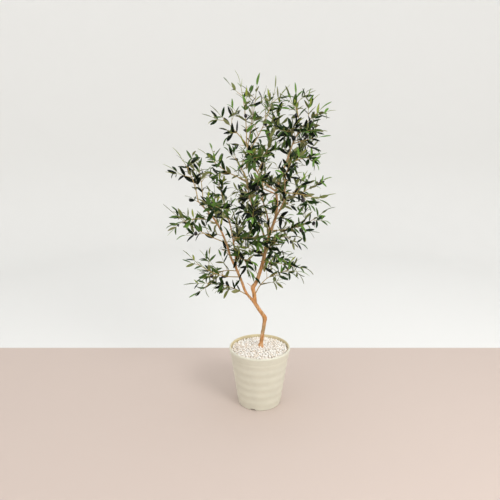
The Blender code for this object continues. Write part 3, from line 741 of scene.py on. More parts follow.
INWARD = 0.3  # how squarely a face looks at the pot's axis, to count as an inner one

PEBBLE_CENTRE_HEIGHT = 0.2987
PEBBLE_EDGE_HEIGHT = 0.287
PEBBLE_HEAP = 0.006  # the stones are drawn up a little around the trunk
PEBBLE_HEAP_REACH = 0.035
PEBBLE_SEED = 11
PEBBLE_LAYERS = ((0.0095, 0.80), (0.0045, 0.80), (0.0, 0.93))  # depth, and closeness as a share of size
PEBBLE_TRIES = 9000  # in each layer
PEBBLE_SIZES = (0.72, 1.25)
PEBBLE_TIP = (-35, 35)  # degrees from level
PEBBLE_LUMPS = 2.4  # how many there are across a stone
# Shares of a stone's size
PEBBLE_SUNK = 0.32
PEBBLE_TO_WALL = 0.45
PEBBLE_TO_TRUNK = 0.30
PEBBLE_WIDTHS = (0.66, 0.92)
PEBBLE_THICKNESSES = (0.52, 0.78)
PEBBLE_LUMP = 0.34

PEBBLE_SMOOTH_ANGLE = 80
STONES = ("white", "cream", "warm")  # as the settings name their colours
STONE_SHARES = (5, 4, 2)
CORE_SEED = 5
CORE_DEPTH = 0.016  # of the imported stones' top, under the bed's
CORE_SIDES = 96
CORE_RINGS = 16
CORE_LUMP = 0.002
CORE_EASE = 0.001  # clear of the pot's wall
GAP = 0.0003  # clear of the compost


class PotSettings(bpy.types.PropertyGroup):
    """The planter and its fill."""

    height: FloatProperty(
        name="Height", description="Height of the pot", default=POT_HEIGHT, unit="LENGTH")
    rim_radius: FloatProperty(
        name="Rim Radius", description="Outer radius of the rim", default=0.1525, unit="LENGTH")
    foot_radius: FloatProperty(
        name="Foot Radius", description="Outer radius of the foot", default=0.107, unit="LENGTH")
    rib_depth: FloatProperty(
        name="Rib Depth", description="Depth of the ribs, from crest to trough",
        default=0.0014, unit="LENGTH")
    rib_pitch: FloatProperty(
        name="Rib Pitch", description="Height of one rib", default=0.0435, unit="LENGTH")
    plastic: FloatVectorProperty(
        name="Plastic", description="Colour of the pot", subtype="COLOR", default=linear("#DCDAC9"))
    # The colour inside the rim: the plastic browned with painted shade.
    shade_inside: FloatVectorProperty(
        name="Shade Inside", description="Plastic inside the rim", subtype="COLOR", default=linear("#D3C59F"))
    pebble_size: FloatProperty(
        name="Pebble Size", description="Length of a middling pebble", default=0.0125, unit="LENGTH")
    white: FloatVectorProperty(
        name="White Stone", description="The lightest pebbles", subtype="COLOR", default=linear("#FBF8F2"))
    cream: FloatVectorProperty(
        name="Cream Stone", description="The middling pebbles", subtype="COLOR", default=linear("#F7F0E7"))
    warm: FloatVectorProperty(
        name="Warm Stone", description="The darkest pebbles", subtype="COLOR", default=linear("#EDE1D3"))


def pot_radius(pot, height):
    """The pot's mean outer radius: a plain taper, then the flare of the rim."""
    share = height / POT_WAIST_HEIGHT
    if share <= 1:
        return between(pot.foot_radius, POT_WAIST_RADIUS, share)
    flare = (height - POT_WAIST_HEIGHT) / (pot.height - POT_WAIST_HEIGHT)
    return between(POT_WAIST_RADIUS, pot.rim_radius, flare**RIM_FLARE_POWER)


def pot_profile(pot):
    """(radius, height) points from the centre of the underside, up the ribbed outside and down the inside."""
    profile = [(0, 0)]
    for turn in FOOT_TURNS:
        angle = math.radians(turn)
        radius = pot_radius(pot, FOOT_ROUNDING) - FOOT_ROUNDING * (1 - math.sin(angle))
        profile.append((radius, FOOT_ROUNDING * (1 - math.cos(angle))))
    collar = RIB_TOP_CREST + pot.rib_pitch / 4
    for i in range(1, RIBBED_RINGS + 1):
        height = FOOT_ROUNDING + (collar - FOOT_ROUNDING) * i / RIBBED_RINGS
        fade = min(1, height / RIB_FADE_FOOT, (collar - height) / RIB_FADE_COLLAR + RIB_REST)
        wave = math.cos(2 * math.pi * (height - RIB_TOP_CREST) / pot.rib_pitch)
        profile.append((pot_radius(pot, height) + pot.rib_depth / 2 * wave * fade, height))
    lip_low = pot.height - LIP_DEPTH
    for i in range(1, COLLAR_RINGS + 1):
        height = collar + (lip_low - collar) * i / COLLAR_RINGS
        profile.append((pot_radius(pot, height), height))
    middle = pot.rim_radius - LIP_THICKNESS / 2
    for turn in LIP_TURNS:
        angle = math.radians(turn)
        profile.append((middle + LIP_THICKNESS / 2 * math.cos(angle), lip_low + LIP_DEPTH * math.sin(angle)))
    for height in (POT_WAIST_HEIGHT + INNER_LIP, POT_WAIST_HEIGHT, POT_FLOOR):
        profile.append((pot_radius(pot, height) - POT_WALL, height))
    return profile + [(0, POT_FLOOR)]


class OLIVE_OT_make_pot(bpy.types.Operator):
    """Turn the ribbed pot and cut the drain notches in its foot"""

    bl_idname = "olive.make_pot"
    bl_label = "Make the Pot"

    def execute(self, context):
        settings = context.scene.olive_pot
        bm = turned(pot_profile(settings), POT_SIDES)
        bmesh.ops.recalc_face_normals(bm, faces=bm.faces)
        shell = new_object("pot_shell", bm)
        for k in range(NOTCH_COUNT):
            turn = math.radians(360 / NOTCH_COUNT * k - NOTCH_TURN)
            cutter = self.notch_cutter(turn, settings.foot_radius)
            cut = shell.modifiers.new("Notch", "BOOLEAN")
            cut.object = cutter
            baked(shell)
            bpy.data.objects.remove(cutter)
        for material in moulded_polypropylene(settings):
            shell.data.materials.append(material)
        # Faces that look inward above the waist take the second finish, browned with painted shade.
        for face in shell.data.polygons:
            outward = face.normal.x * face.center.x + face.normal.y * face.center.y
            if outward < -INWARD * POT_WAIST_RADIUS and face.center.z > POT_WAIST_HEIGHT:
                face.material_index = 1
        shell.data.shade_smooth()
        shell.data.set_sharp_from_angle(angle=math.radians(POT_SMOOTH_ANGLE))
        settle(shell, "pot", "pot")
        compost = frame["nodes"]["potting_mix"]
        compost.data.materials.clear()
        compost.data.materials.append(damp_compost())
        return {"FINISHED"}

    def notch_cutter(self, turn, foot_radius):
        """A block with rounded top corners that stands across the foot's edge."""
        bm = bmesh.new()
        size = Matrix.Diagonal((2 * NOTCH_DEPTH, NOTCH_WIDTH, 2 * NOTCH_HEIGHT, 1))
        place = Matrix.Rotation(turn, 4, "Z") @ Matrix.Translation((foot_radius, 0, 0)) @ size
        bmesh.ops.create_cube(bm, size=1, matrix=place)
        edges = [e for e in bm.edges if all(v.co.z > 0 for v in e.verts)]
        bmesh.ops.bevel(bm, geom=edges, offset=NOTCH_ROUNDING, segments=3, affect="EDGES")
        return new_object("notch_cutter", bm)


def bed_height(share):
    """The bed's even height at a share of the way from the pot's axis to its wall."""
    return between(PEBBLE_CENTRE_HEIGHT, PEBBLE_EDGE_HEIGHT, share**2)


def pebble_shape():
    """The points and faces of a round stone, half a unit in radius."""
    bm = bmesh.new()
    bmesh.ops.create_icosphere(bm, subdivisions=2, radius=0.5)
    points = [v.co.copy() for v in bm.verts]
    faces = [tuple(v.index for v in f.verts) for f in bm.faces]
    bm.free()
    return points, faces


class OLIVE_OT_make_pebbles(bpy.types.Operator):
    """Lay the bed of white pebbles in the pot, stone by stone"""

    bl_idname = "olive.make_pebbles"
    bl_label = "Lay the Pebbles"

    def execute(self, context):
        settings = context.scene.olive_pot
        draw = random.Random(PEBBLE_SEED)
        trunk = LIMBS["trunk"]
        foot = Vector(trunk.route[0])
        edge = pot_radius(settings, PEBBLE_EDGE_HEIGHT) - POT_WALL
        shape, faces = pebble_shape()
        bed = Bunch()
        self.add_core(bed, settings, edge)
        for depth, closeness in PEBBLE_LAYERS:
            laid = []
            for _ in range(PEBBLE_TRIES):
                size = settings.pebble_size * draw.uniform(*PEBBLE_SIZES)
                radius = (edge - size * PEBBLE_TO_WALL) * math.sqrt(draw.random())
                angle = draw.uniform(0, 2 * math.pi)
                x, y = radius * math.cos(angle), radius * math.sin(angle)
                to_trunk = math.hypot(x - foot.x, y - foot.y)
                if to_trunk < trunk.foot_girth + size * PEBBLE_TO_TRUNK:
                    continue
                if any(math.hypot(x - a, y - b) < closeness * (size + s) / 2 for a, b, s in laid):
                    continue
                laid.append((x, y, size))
                heap = PEBBLE_HEAP * math.exp(-((to_trunk / PEBBLE_HEAP_REACH) ** 2))
                height = bed_height(radius / edge) + heap - depth - size * PEBBLE_SUNK
                self.add_pebble(bed, shape, faces, Vector((x, y, height)), size, draw)
        stones = bed.make("pebble_bed", tumbled_marble(settings), PEBBLE_SMOOTH_ANGLE)
        settle(stones, "pebbles", "pebbles")
        return {"FINISHED"}

    def add_pebble(self, bed, shape, faces, centre, size, draw):
        """One stone: an uneven, slightly flat lump, tipped at random."""
        turn = Matrix.Rotation(draw.uniform(0, 2 * math.pi), 3, "Z")
        tip = Matrix.Rotation(math.radians(draw.uniform(*PEBBLE_TIP)), 3, "X")
        stretch = Vector((1, draw.uniform(*PEBBLE_WIDTHS), draw.uniform(*PEBBLE_THICKNESSES))) * size
        seed = Vector([draw.uniform(0, 100) for _ in range(3)])
        points = []
        for p in shape:
            lump = 1 + PEBBLE_LUMP * noise.noise(p * PEBBLE_LUMPS + seed)
            flat = Vector((p.x * stretch.x, p.y * stretch.y, p.z * stretch.z))
            points.append(centre + turn @ (tip @ flat * lump))
        bed.add(points, faces, draw.choices(range(len(STONES)), STONE_SHARES)[0])

    def add_core(self, bed, settings, edge):
        """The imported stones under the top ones, as one lumpy block down to the compost."""
        draw = random.Random(CORE_SEED)
        angles = [2 * math.pi * k / CORE_SIDES for k in range(CORE_SIDES)]
        points = [Vector((0, 0, bed_height(0) - CORE_DEPTH))]
        for i in range(1, CORE_RINGS + 1):
            radius = edge * i / CORE_RINGS
            for angle in angles:
                height = bed_height(i / CORE_RINGS) - CORE_DEPTH + draw.uniform(-CORE_LUMP, CORE_LUMP)
                points.append(Vector((radius * math.cos(angle), radius * math.sin(angle), height)))
        low = pot_radius(settings, MIX_TOP) - POT_WALL - CORE_EASE
        points += [Vector((low * math.cos(angle), low * math.sin(angle), MIX_TOP + GAP)) for angle in angles]
        faces = [(0, 1 + k, 1 + (k + 1) % CORE_SIDES) for k in range(CORE_SIDES)]
        faces += [(a, d, c, b) for a, b, c, d in ring_faces(CORE_RINGS + 1, CORE_SIDES, 1)]
        last = 1 + CORE_RINGS * CORE_SIDES
        faces.append(tuple(last + k for k in reversed(range(CORE_SIDES))))
        bed.add(points, faces, STONES.index("warm"))


# ---------------------------------------------------------------- wood

TRUNK_SUNK = 0.008  # how far the trunk's foot goes down between the pebbles
LIMB_SIDES = 20
FORK_SWELL = 0.15  # a fork swells where the limb leaves its parent
FORK_SWELL_REACH = 0.018
FLOW_PASSES = 3
Stub = namedtuple("Stub", "limb along reach heading climb girth")
STUBS = [  # bare ends of broken side shoots
    Stub("right_stem", 0.22, 0.045, 175, 48, 0.0016),
    Stub("left_bough", 0.16, 0.055, 178, 42, 0.0018),
]
STUB_BOW = 0.05
STUB_SIDES = 8
STREAK_WIDTH = 5 * MM
STREAK_LENGTH = 28 * MM
STREAK_CHANGE = 3  # how fast the streaks change from place to place
LUMP_SIZE = 16 * MM
LUMP_SHARE = 0.8  # of the streaks' height
BUD_SPACING = 0.038
BUD_SHARPNESS = 12
BUD_SHARE = 0.5
THIN_RELIEF = 0.35  # share of the relief that the thinnest wood keeps


class WoodSettings(bpy.types.PropertyGroup):
    """The bark of the trunk and boughs, and of the shoots."""

    grain: FloatProperty(
        name="Grain", description="Size of the mesh that the bark's relief is made on",
        default=0.0013, unit="LENGTH")
    relief: FloatProperty(
        name="Relief", description="Height of the bark's ridges on the trunk", default=0.0007, unit="LENGTH")
    bark: FloatVectorProperty(
        name="Bark", description="Main colour of the bark", subtype="COLOR", default=linear("#CC8D4E"))
    woody_shoot: FloatVectorProperty(
        name="Woody Shoot", description="Colour of the older shoots",
        subtype="COLOR", default=linear("#AA8F52"))
    green_shoot: FloatVectorProperty(
        name="Green Shoot", description="Colour of the youngest shoots",
        subtype="COLOR", default=linear("#90904A"))


class OLIVE_OT_grow_wood(bpy.types.Operator):
    """Grow the trunk and boughs as one skin of bark, with flowing forks and a low relief"""

    bl_idname = "olive.grow_wood"
    bl_label = "Grow the Wood"

    def execute(self, context):
        settings = context.scene.olive_wood
        curves = limb_curves()
        limbs = Bunch()
        for name, curve in curves.items():
            fine = smooth_route(curve, FINE_STEP)
            reaches = distances(fine)
            girths = [limb_girth(name, reach / reaches[-1], reach) for reach in reaches]
            if LIMBS[name].parent:
                swells = [1 + FORK_SWELL * math.exp(-reach / FORK_SWELL_REACH) for reach in reaches]
                girths = [girth * swell for girth, swell in zip(girths, swells)]
            else:  # the trunk's foot stands among the pebbles
                fine.insert(0, fine[0] - Vector((0, 0, TRUNK_SUNK)))
                girths.insert(0, girths[0])
            limbs.add(*tube(fine, girths, LIMB_SIDES, knot_swell(name)), 0)
        for stub in STUBS:
            start, _ = point_at(curves[stub.limb], stub.along)
            tip = start + towards(stub.heading, stub.climb) * stub.reach
            curve = arc(start, tip, STUB_BOW, FINE_STEP)
            limbs.add(*tube(curve, [stub.girth] * len(curve), STUB_SIDES), 0)
        bark = limbs.make("bark", [])
        remesh = bark.modifiers.new("Grain", "REMESH")
        remesh.mode = "VOXEL"
        remesh.voxel_size = settings.grain
        remesh.use_smooth_shade = True
        smooth = bark.modifiers.new("Flow", "SMOOTH")
        smooth.factor = 0.5
        smooth.iterations = FLOW_PASSES
        baked(bark)
        self.add_relief(bark.data, Wood(curves), settings.relief)
        bark.data.materials.clear()
        bark.data.materials.append(young_olive_bark(settings))
        bark.data.shade_smooth()
        settle(bark, "bark", *LIMBS)
        return {"FINISHED"}

    def add_relief(self, mesh, wood, height):
        """Moves the points out and in along streaks that follow each limb, with a ring at every old bud."""
        count = len(mesh.vertices)
        normals = np.empty(count * 3)
        mesh.vertices.foreach_get("normal", normals)
        normals = normals.reshape(-1, 3)
        moved = np.empty((count, 3))
        trunk_girth = LIMBS["trunk"].foot_girth
        for i, vertex in enumerate(mesh.vertices):
            point = vertex.co
            _, axis_point, ahead, girth, reach = wood.nearest(point)
            across = point - axis_point
            along = reach + across.dot(ahead)
            across -= ahead * across.dot(ahead)
            drift = axis_point * STREAK_CHANGE
            streak = noise.noise(across / STREAK_WIDTH + ahead * along / STREAK_LENGTH + drift)
            lump = noise.noise(point / LUMP_SIZE)
            bud = max(0, math.cos(2 * math.pi * along / BUD_SPACING)) ** BUD_SHARPNESS
            size = height * between(THIN_RELIEF, 1, girth / trunk_girth)
            lift = size * (streak + LUMP_SHARE * lump + BUD_SHARE * bud)
            moved[i] = np.array(point) + normals[i] * lift
        mesh.vertices.foreach_set("co", moved.astype(np.float32).ravel())
        mesh.update()


# ---------------------------------------------------------------- foliage

SHOOT_SWELL = 0.4  # a shoot swells at its foot
SHOOT_SWELL_REACH = 0.004

LEAF_TOPS = ("old_and_shaded", "dark", "middle", "fresh")
LEAF_UNDERS = ("silver", "grey_green", "pale_green")
LEAF_SKINS = LEAF_TOPS + LEAF_UNDERS
LEAF_SMOOTH_ANGLE = 70
LEAF_STATIONS = (0.0, 0.08, 0.22, 0.40, 0.60, 0.80, 0.93)  # shares of the length, from its root
LEAF_THICKNESS = 0.0005
LEAF_BROADEST = 0.88  # below 1, so that a leaf is broadest short of its middle
LEAF_FULLNESS = 0.72
LEAF_STALK = 0.03  # half the width at the root, as a share of the full width
LEAF_STRAY = 0.2  # radians off the crossed pairs
LEAF_LEAN = (34, 58)  # degrees from the shoot
LEAF_LIFT = (-0.15, 0.15)
LEAF_SIZES = (0.86, 1.12)
LEAF_WIDTHS = (0.84, 1.10)
YOUNG_SMALLER = 0.38  # share of its size that the youngest leaf lacks
YOUNG_NARROWER = 0.30  # and of its width besides
TIP_SHARE = 0.995  # where on its shoot the last leaf is rooted
TIP_LEAF_SIZES = (0.9, 1.1)
LEAF_CURL = (-0.30, 0.35)  # radians from root to tip: the mean and the spread
LEAF_TWIST = (0, 0.35)
LEAF_FOLD = (0.10, 0.45)  # rise of the edges, as a share of the half width
LEAF_SPINE = (3, 9, -1)  # its points that keep clear of limbs: at the root, a fifth along, and the tip
LEAF_CLEARANCE = 0.001
SUNWARD = Vector((0.25, -0.60, 0.75))  # the blades turn towards the window
FACE_AHEAD = 0.6  # what a blade faces: these shares of ahead and sunward, and a random rest
FACE_SUNWARD = 0.5
FACE_STRAY = 0.7
YOUNG_FRESHER = 0.75  # share of its spray's age that a leaf at a shoot's tip lacks
WEAR_STRAY = 0.22
WORN_DEEP = 0.52  # how worn the leaves of each colour are, at least
WORN_DARK = 0.32
WORN_MIDDLE = 0.12

OLIVE_SKINS = ("unripe", "turning", "ripe")
OLIVE_SKIN_SHARES = (2, 1, 4)
OLIVE_SIZES = (0.9, 1.08)
OLIVE_RADIUS = 0.40  # of its length
OLIVE_FULLER = 0.10  # share by which it is fuller near its end, and slimmer near its stalk
OLIVE_POINT = 1.02  # where its small point ends, as a share of its length
OLIVE_LEAN = (-12, 12)  # degrees from upright
OLIVE_RINGS = 12
OLIVE_SIDES = 16
OLIVE_SMOOTH_ANGLE = 80
STALK_GIRTH = 0.0008
STALK_SUNK = 0.002  # how far the stalk goes into the fruit
STALK_SWAY = 0.001  # how far to the side its end hangs
STALK_STEP = 0.004
STALK_SIDES = 5


class FoliageSettings(bpy.types.PropertyGroup):
    """Leaves and fruit: sizes and colours."""

    leaf_length: FloatProperty(
        name="Leaf Length", description="Length of a full-grown leaf", default=0.058, unit="LENGTH")
    leaf_width: FloatProperty(
        name="Leaf Width", description="Width of a full-grown leaf", default=0.0182, unit="LENGTH")
    leaf_spacing: FloatProperty(
        name="Leaf Spacing", description="Distance between leaf pairs", default=0.0275, unit="LENGTH")
    leaf_roughness: FloatProperty(
        name="Leaf Roughness", description="How matt the upper side is", default=0.42, subtype="FACTOR")
    # The deep tint is darker than the oldest leaves' own colour: partly painted shade.
    old_and_shaded: FloatVectorProperty(
        name="Deep", description="Oldest leaves, upper side", subtype="COLOR", default=linear("#081204"))
    dark: FloatVectorProperty(
        name="Dark", description="Old leaves, upper side", subtype="COLOR", default=linear("#1A2E0C"))
    middle: FloatVectorProperty(
        name="Middle", description="Grown leaves, upper side", subtype="COLOR", default=linear("#435B27"))
    fresh: FloatVectorProperty(
        name="Fresh", description="New leaves, upper side", subtype="COLOR", default=linear("#618437"))
    silver: FloatVectorProperty(
        name="Silver", description="Old leaves, underside", subtype="COLOR", default=linear("#8B8E60"))
    grey_green: FloatVectorProperty(
        name="Grey Green", description="Grown leaves, underside", subtype="COLOR", default=linear("#767E4A"))
    pale_green: FloatVectorProperty(
        name="Pale Green", description="New leaves, underside", subtype="COLOR", default=linear("#96A448"))
    olive_length: FloatProperty(
        name="Olive Length", description="Length of an olive", default=0.021, unit="LENGTH")
    unripe: FloatVectorProperty(
        name="Unripe", description="Green olives", subtype="COLOR", default=linear("#5D6B33"))
    turning: FloatVectorProperty(
        name="Turning", description="Olives as they ripen", subtype="COLOR", default=linear("#4A3A30"))
    ripe: FloatVectorProperty(
        name="Ripe", description="Black olives", subtype="COLOR", default=linear("#1E1618"))


class OLIVE_OT_grow_twigs(bpy.types.Operator):
    """Grow the stems, twigs and side shoots of every spray"""

    bl_idname = "olive.grow_twigs"
    bl_label = "Grow the Twigs"

    def execute(self, context):
        materials = shoot_bark(context.scene.olive_wood)
        curves = limb_curves()
        stems = stem_curves(curves)
        for lobe, sprays in SPRAYS.items():
            twigs = Bunch()
            for shoot in lobe_shoots(sprays, stems, curves):
                self.add_shoot(twigs, shoot)
            made = twigs.make("twigs_" + lobe, materials)
            settle(made, "foliage", *["spray_" + name for name in sprays])
        return {"FINISHED"}

    def add_shoot(self, twigs, shoot):
        """One shoot: swollen a little at its foot, woody below and green above."""
        kind = shoot.kind
        fine = smooth_route(shoot.curve, FINE_STEP)
        reaches = distances(fine)
        girths = []
        for reach in reaches:
            girth = between(kind.foot_girth, kind.tip_girth, reach / reaches[-1])
            girths.append(girth * (1 + SHOOT_SWELL * math.exp(-reach / SHOOT_SWELL_REACH)))
        points, faces = tube(fine, girths, kind.sides)
        slots = [0 if f // kind.sides < kind.woody * len(fine) else 1 for f in range(len(faces))]
        twigs.add(points, faces, slots)


def leaf_half_width(share):
    """Half the leaf's width at a share of its length, as a share of its full width: lance-shaped."""
    return 0.5 * math.sin(math.pi * share**LEAF_BROADEST) ** LEAF_FULLNESS + LEAF_STALK * (1 - share)


def leaf_points(root, way, face, length, width, curl, fold, twist):
    """Rows of left edge, midrib, right edge and midrib underneath, then the tip."""
    points = []
    wide = way.cross(face)
    place = root.copy()
    last = 0.0
    for share in (*LEAF_STATIONS, 1.0):
        bend = Matrix.Rotation(curl * share, 3, wide)
        ahead, up = bend @ way, bend @ face
        place = place + ahead * length * (share - last)
        last = share
        if share == 1.0:
            points.append(place)
            break
        roll = Matrix.Rotation(twist * share, 3, ahead)
        across, lift = roll @ wide, roll @ up
        half = leaf_half_width(share) * width
        rise = lift * half * fold
        points += [place - across * half + rise, place, place + across * half + rise]
        points.append(place - lift * LEAF_THICKNESS)
    return points


def leaf_faces():
    """The faces of a leaf over those points, and whether each is on the upper side."""
    faces, tops = [(0, 1, 3), (1, 2, 3)], [True, True]
    rows = len(LEAF_STATIONS)
    for i in range(rows - 1):
        a, b = 4 * i, 4 * (i + 1)
        faces += [(a, b, b + 1, a + 1), (a + 1, b + 1, b + 2, a + 2)]
        faces += [(a, a + 3, b + 3, b), (a + 3, a + 2, b + 2, b + 3)]
        tops += [True, True, False, False]
    a, tip = 4 * (rows - 1), 4 * rows
    faces += [(a, tip, a + 1), (a + 1, tip, a + 2), (a, a + 3, tip), (a + 3, a + 2, tip)]
    tops += [True, True, False, False]
    return faces, tops


LEAF_FACES, LEAF_FACE_TOPS = leaf_faces()


class OLIVE_OT_grow_leaves(bpy.types.Operator):
    """Grow the leaves of every spray in crossed pairs, dark and old within, fresh at the tips, the darkest
    tint partly painted shade
    """

    bl_idname = "olive.grow_leaves"
    bl_label = "Grow the Leaves"

    def execute(self, context):
        settings = context.scene.olive_foliage
        materials = leaf_cuticles(settings)
        curves = limb_curves()
        stems = stem_curves(curves)
        wood = Wood(curves)
        for lobe, sprays in SPRAYS.items():
            leaves = Bunch()
            draw = random.Random("leaves of " + lobe)
            for shoot in lobe_shoots(sprays, stems, curves):
                for place in self.leaf_places(shoot, settings.leaf_spacing / shoot.leafy, draw):
                    self.add_leaf(leaves, place, settings, shoot.age, wood, draw)
            made = leaves.make("leaves_" + lobe, materials, LEAF_SMOOTH_ANGLE)
            settle(made, "foliage", *["spray_" + name for name in sprays])
        return {"FINISHED"}

    def leaf_places(self, shoot, spacing, draw):
        """(root, direction, face, size, youth) of each leaf: crossed pairs, and one leaf at the tip."""
        kind, curve = shoot.kind, shoot.curve
        length = distances(curve)[-1]
        count = max(1, int((length - kind.bare) / spacing))
        roll = draw.uniform(0, math.pi)
        places = []
        for i in range(count):
            share = between(kind.bare, length, (i + 0.5) / count) / length
            root, ahead = point_at(curve, share)
            youth = share**2
            for side in (0, math.pi):
                turn = roll + i * math.pi / 2 + side + draw.uniform(-LEAF_STRAY, LEAF_STRAY)
                way = branch_way(ahead, turn, draw.uniform(*LEAF_LEAN), draw.uniform(*LEAF_LIFT))
                stray = Vector([draw.uniform(-FACE_STRAY, FACE_STRAY) for _ in range(3)])
                face = ahead * FACE_AHEAD + SUNWARD * FACE_SUNWARD + stray
                face = (face - way * way.dot(face)).normalized()
                size = draw.uniform(*LEAF_SIZES) * (1 - YOUNG_SMALLER * youth) * kind.leaf
                places.append((root, way, face, size, youth))
        root, ahead = point_at(curve, TIP_SHARE)
        places.append((root, ahead, square_to(ahead), kind.tip_leaf * draw.uniform(*TIP_LEAF_SIZES), 1.0))
        return places

    def add_leaf(self, leaves, place, settings, age, wood, draw):
        """Adds a leaf, unless it would touch a limb."""
        root, way, face, size, youth = place
        length = settings.leaf_length * size
        width = settings.leaf_width * size * draw.uniform(*LEAF_WIDTHS) * (1 - YOUNG_NARROWER * youth)
        curl = draw.gauss(*LEAF_CURL)
        fold = draw.uniform(*LEAF_FOLD)
        twist = draw.gauss(*LEAF_TWIST)
        top, under = self.tints(age, youth, draw)
        points = leaf_points(root, way, face, length, width, curl, fold, twist)
        if wood.clear([points[i] for i in LEAF_SPINE], LEAF_CLEARANCE):
            skins = [LEAF_SKINS.index(top if upper else under) for upper in LEAF_FACE_TOPS]
            leaves.add(points, LEAF_FACES, skins)

    def tints(self, age, youth, draw):
        """The upper and under colour of a leaf: by its spray's age and its place on the shoot."""
        worn = age * (1 - YOUNG_FRESHER * youth) + draw.uniform(-WEAR_STRAY, WEAR_STRAY)
        # The oldest leaves take the deep tint, darker than their own colour: partly painted shade.
        if worn > WORN_DEEP:
            return "old_and_shaded", "silver"
        if worn > WORN_DARK:
            return "dark", draw.choice(("silver", "grey_green"))
        if worn > WORN_MIDDLE:
            return "middle", "grey_green"
        return "fresh", "pale_green"


class OLIVE_OT_hang_olives(bpy.types.Operator):
    """Hang the olives on short stalks under their stems"""

    bl_idname = "olive.hang_olives"
    bl_label = "Hang the Olives"

    def execute(self, context):
        settings = context.scene.olive_foliage
        stems = stem_curves(limb_curves())
        olives = Bunch()
        for name, spray in ALL_SPRAYS.items():
            draw = random.Random("olives of " + name)
            for i in range(spray.olives):
                top, _ = point_at(stems[name], OLIVE_FIRST + OLIVE_SPACING * i)
                self.add_olive(olives, top, settings.olive_length * draw.uniform(*OLIVE_SIZES), draw)
        materials = olive_skins(settings) + shoot_bark(context.scene.olive_wood)[1:]
        made = olives.make("olives", materials, OLIVE_SMOOTH_ANGLE)
        settle(made, "foliage")
        return {"FINISHED"}

    def add_olive(self, olives, top, length, draw):
        """One olive: a stalk, and a fruit fuller below its middle with a small point at its end."""
        stalk = arc(top, top - Vector((STALK_SWAY, 0, OLIVE_STALK + STALK_SUNK)), 0, STALK_STEP)
        olives.add(*tube(stalk, [STALK_GIRTH] * len(stalk), STALK_SIDES), len(OLIVE_SKINS))
        lean = Matrix.Rotation(math.radians(draw.uniform(*OLIVE_LEAN)), 3, "Y")
        points = []
        for i in range(1, OLIVE_RINGS):
            angle = math.pi * i / OLIVE_RINGS
            radius = OLIVE_RADIUS * length * math.sin(angle) * (1 - OLIVE_FULLER * math.cos(angle))
            depth = OLIVE_STALK + length / 2 * (1 - math.cos(angle))
            for k in range(OLIVE_SIDES):
                turn = 2 * math.pi * k / OLIVE_SIDES
                points.append(Vector((radius * math.cos(turn), radius * math.sin(turn), -depth)))
        crown, end = len(points), len(points) + 1
        points += [Vector((0, 0, -OLIVE_STALK)), Vector((0, 0, -OLIVE_STALK - length * OLIVE_POINT))]
        faces = [(a, d, c, b) for a, b, c, d in ring_faces(OLIVE_RINGS - 1, OLIVE_SIDES)]
        last = (OLIVE_RINGS - 2) * OLIVE_SIDES
        for k in range(OLIVE_SIDES):
            n = (k + 1) % OLIVE_SIDES
            faces += [(crown, k, n), (last + k, end, last + n)]
        skin = draw.choices(range(len(OLIVE_SKINS)), OLIVE_SKIN_SHARES)[0]
        olives.add([top + lean @ point for point in points], faces, skin)


# ---------------------------------------------------------------- stage

SWEEP_RADIUS = 4.2
SWEEP_HEIGHT = 3.6
SWEEP_SIDES = 96
COVE_RADIUS = 1.0
COVE_TURNS = range(10, 91, 10)
FLOOR_EDGE_BLUR = 0.004
WALL_FROM_FLOOR = 0.3  # height over which the sweep takes the wall's colour all round
DAYLIGHT = 1.15
Lamp = namedtuple("Lamp", "name place size power")
LAMPS = (Lamp("window", (1.9, -2.4, 2.6), 1.4, 60), Lamp("fill", (-2.6, -1.8, 1.8), 2.2, 8))
LAMP_TARGET = Vector((0, 0, 0.9))
CAMERA_SIDE = -0.0485  # from the pot's axis
SENSOR_WIDTH = 36


class StageSettings(bpy.types.PropertyGroup):
    """Floor, backdrop, lights and camera."""

    floor: FloatVectorProperty(
        name="Floor", description="Colour of the floor", subtype="COLOR", default=linear("#CCBDB4"))
    wall: FloatVectorProperty(
        name="Wall", description="Colour of the backdrop", subtype="COLOR", default=linear("#E7E7E5"))
    floor_depth: FloatProperty(
        name="Floor Depth", description="How far the floor goes behind the pot", default=0.618, unit="LENGTH")
    camera_height: FloatProperty(
        name="Camera Height", description="Height of the lens", default=1.414, unit="LENGTH")
    camera_distance: FloatProperty(
        name="Camera Distance", description="From the lens to the pot's axis", default=2.40, unit="LENGTH")
    camera_tilt: FloatProperty(
        name="Camera Tilt", description="How far the camera looks down",
        default=math.radians(14.45), unit="ROTATION")
    focal_length: FloatProperty(
        name="Focal Length", description="On a 36 mm sensor", default=37.44, unit="CAMERA")


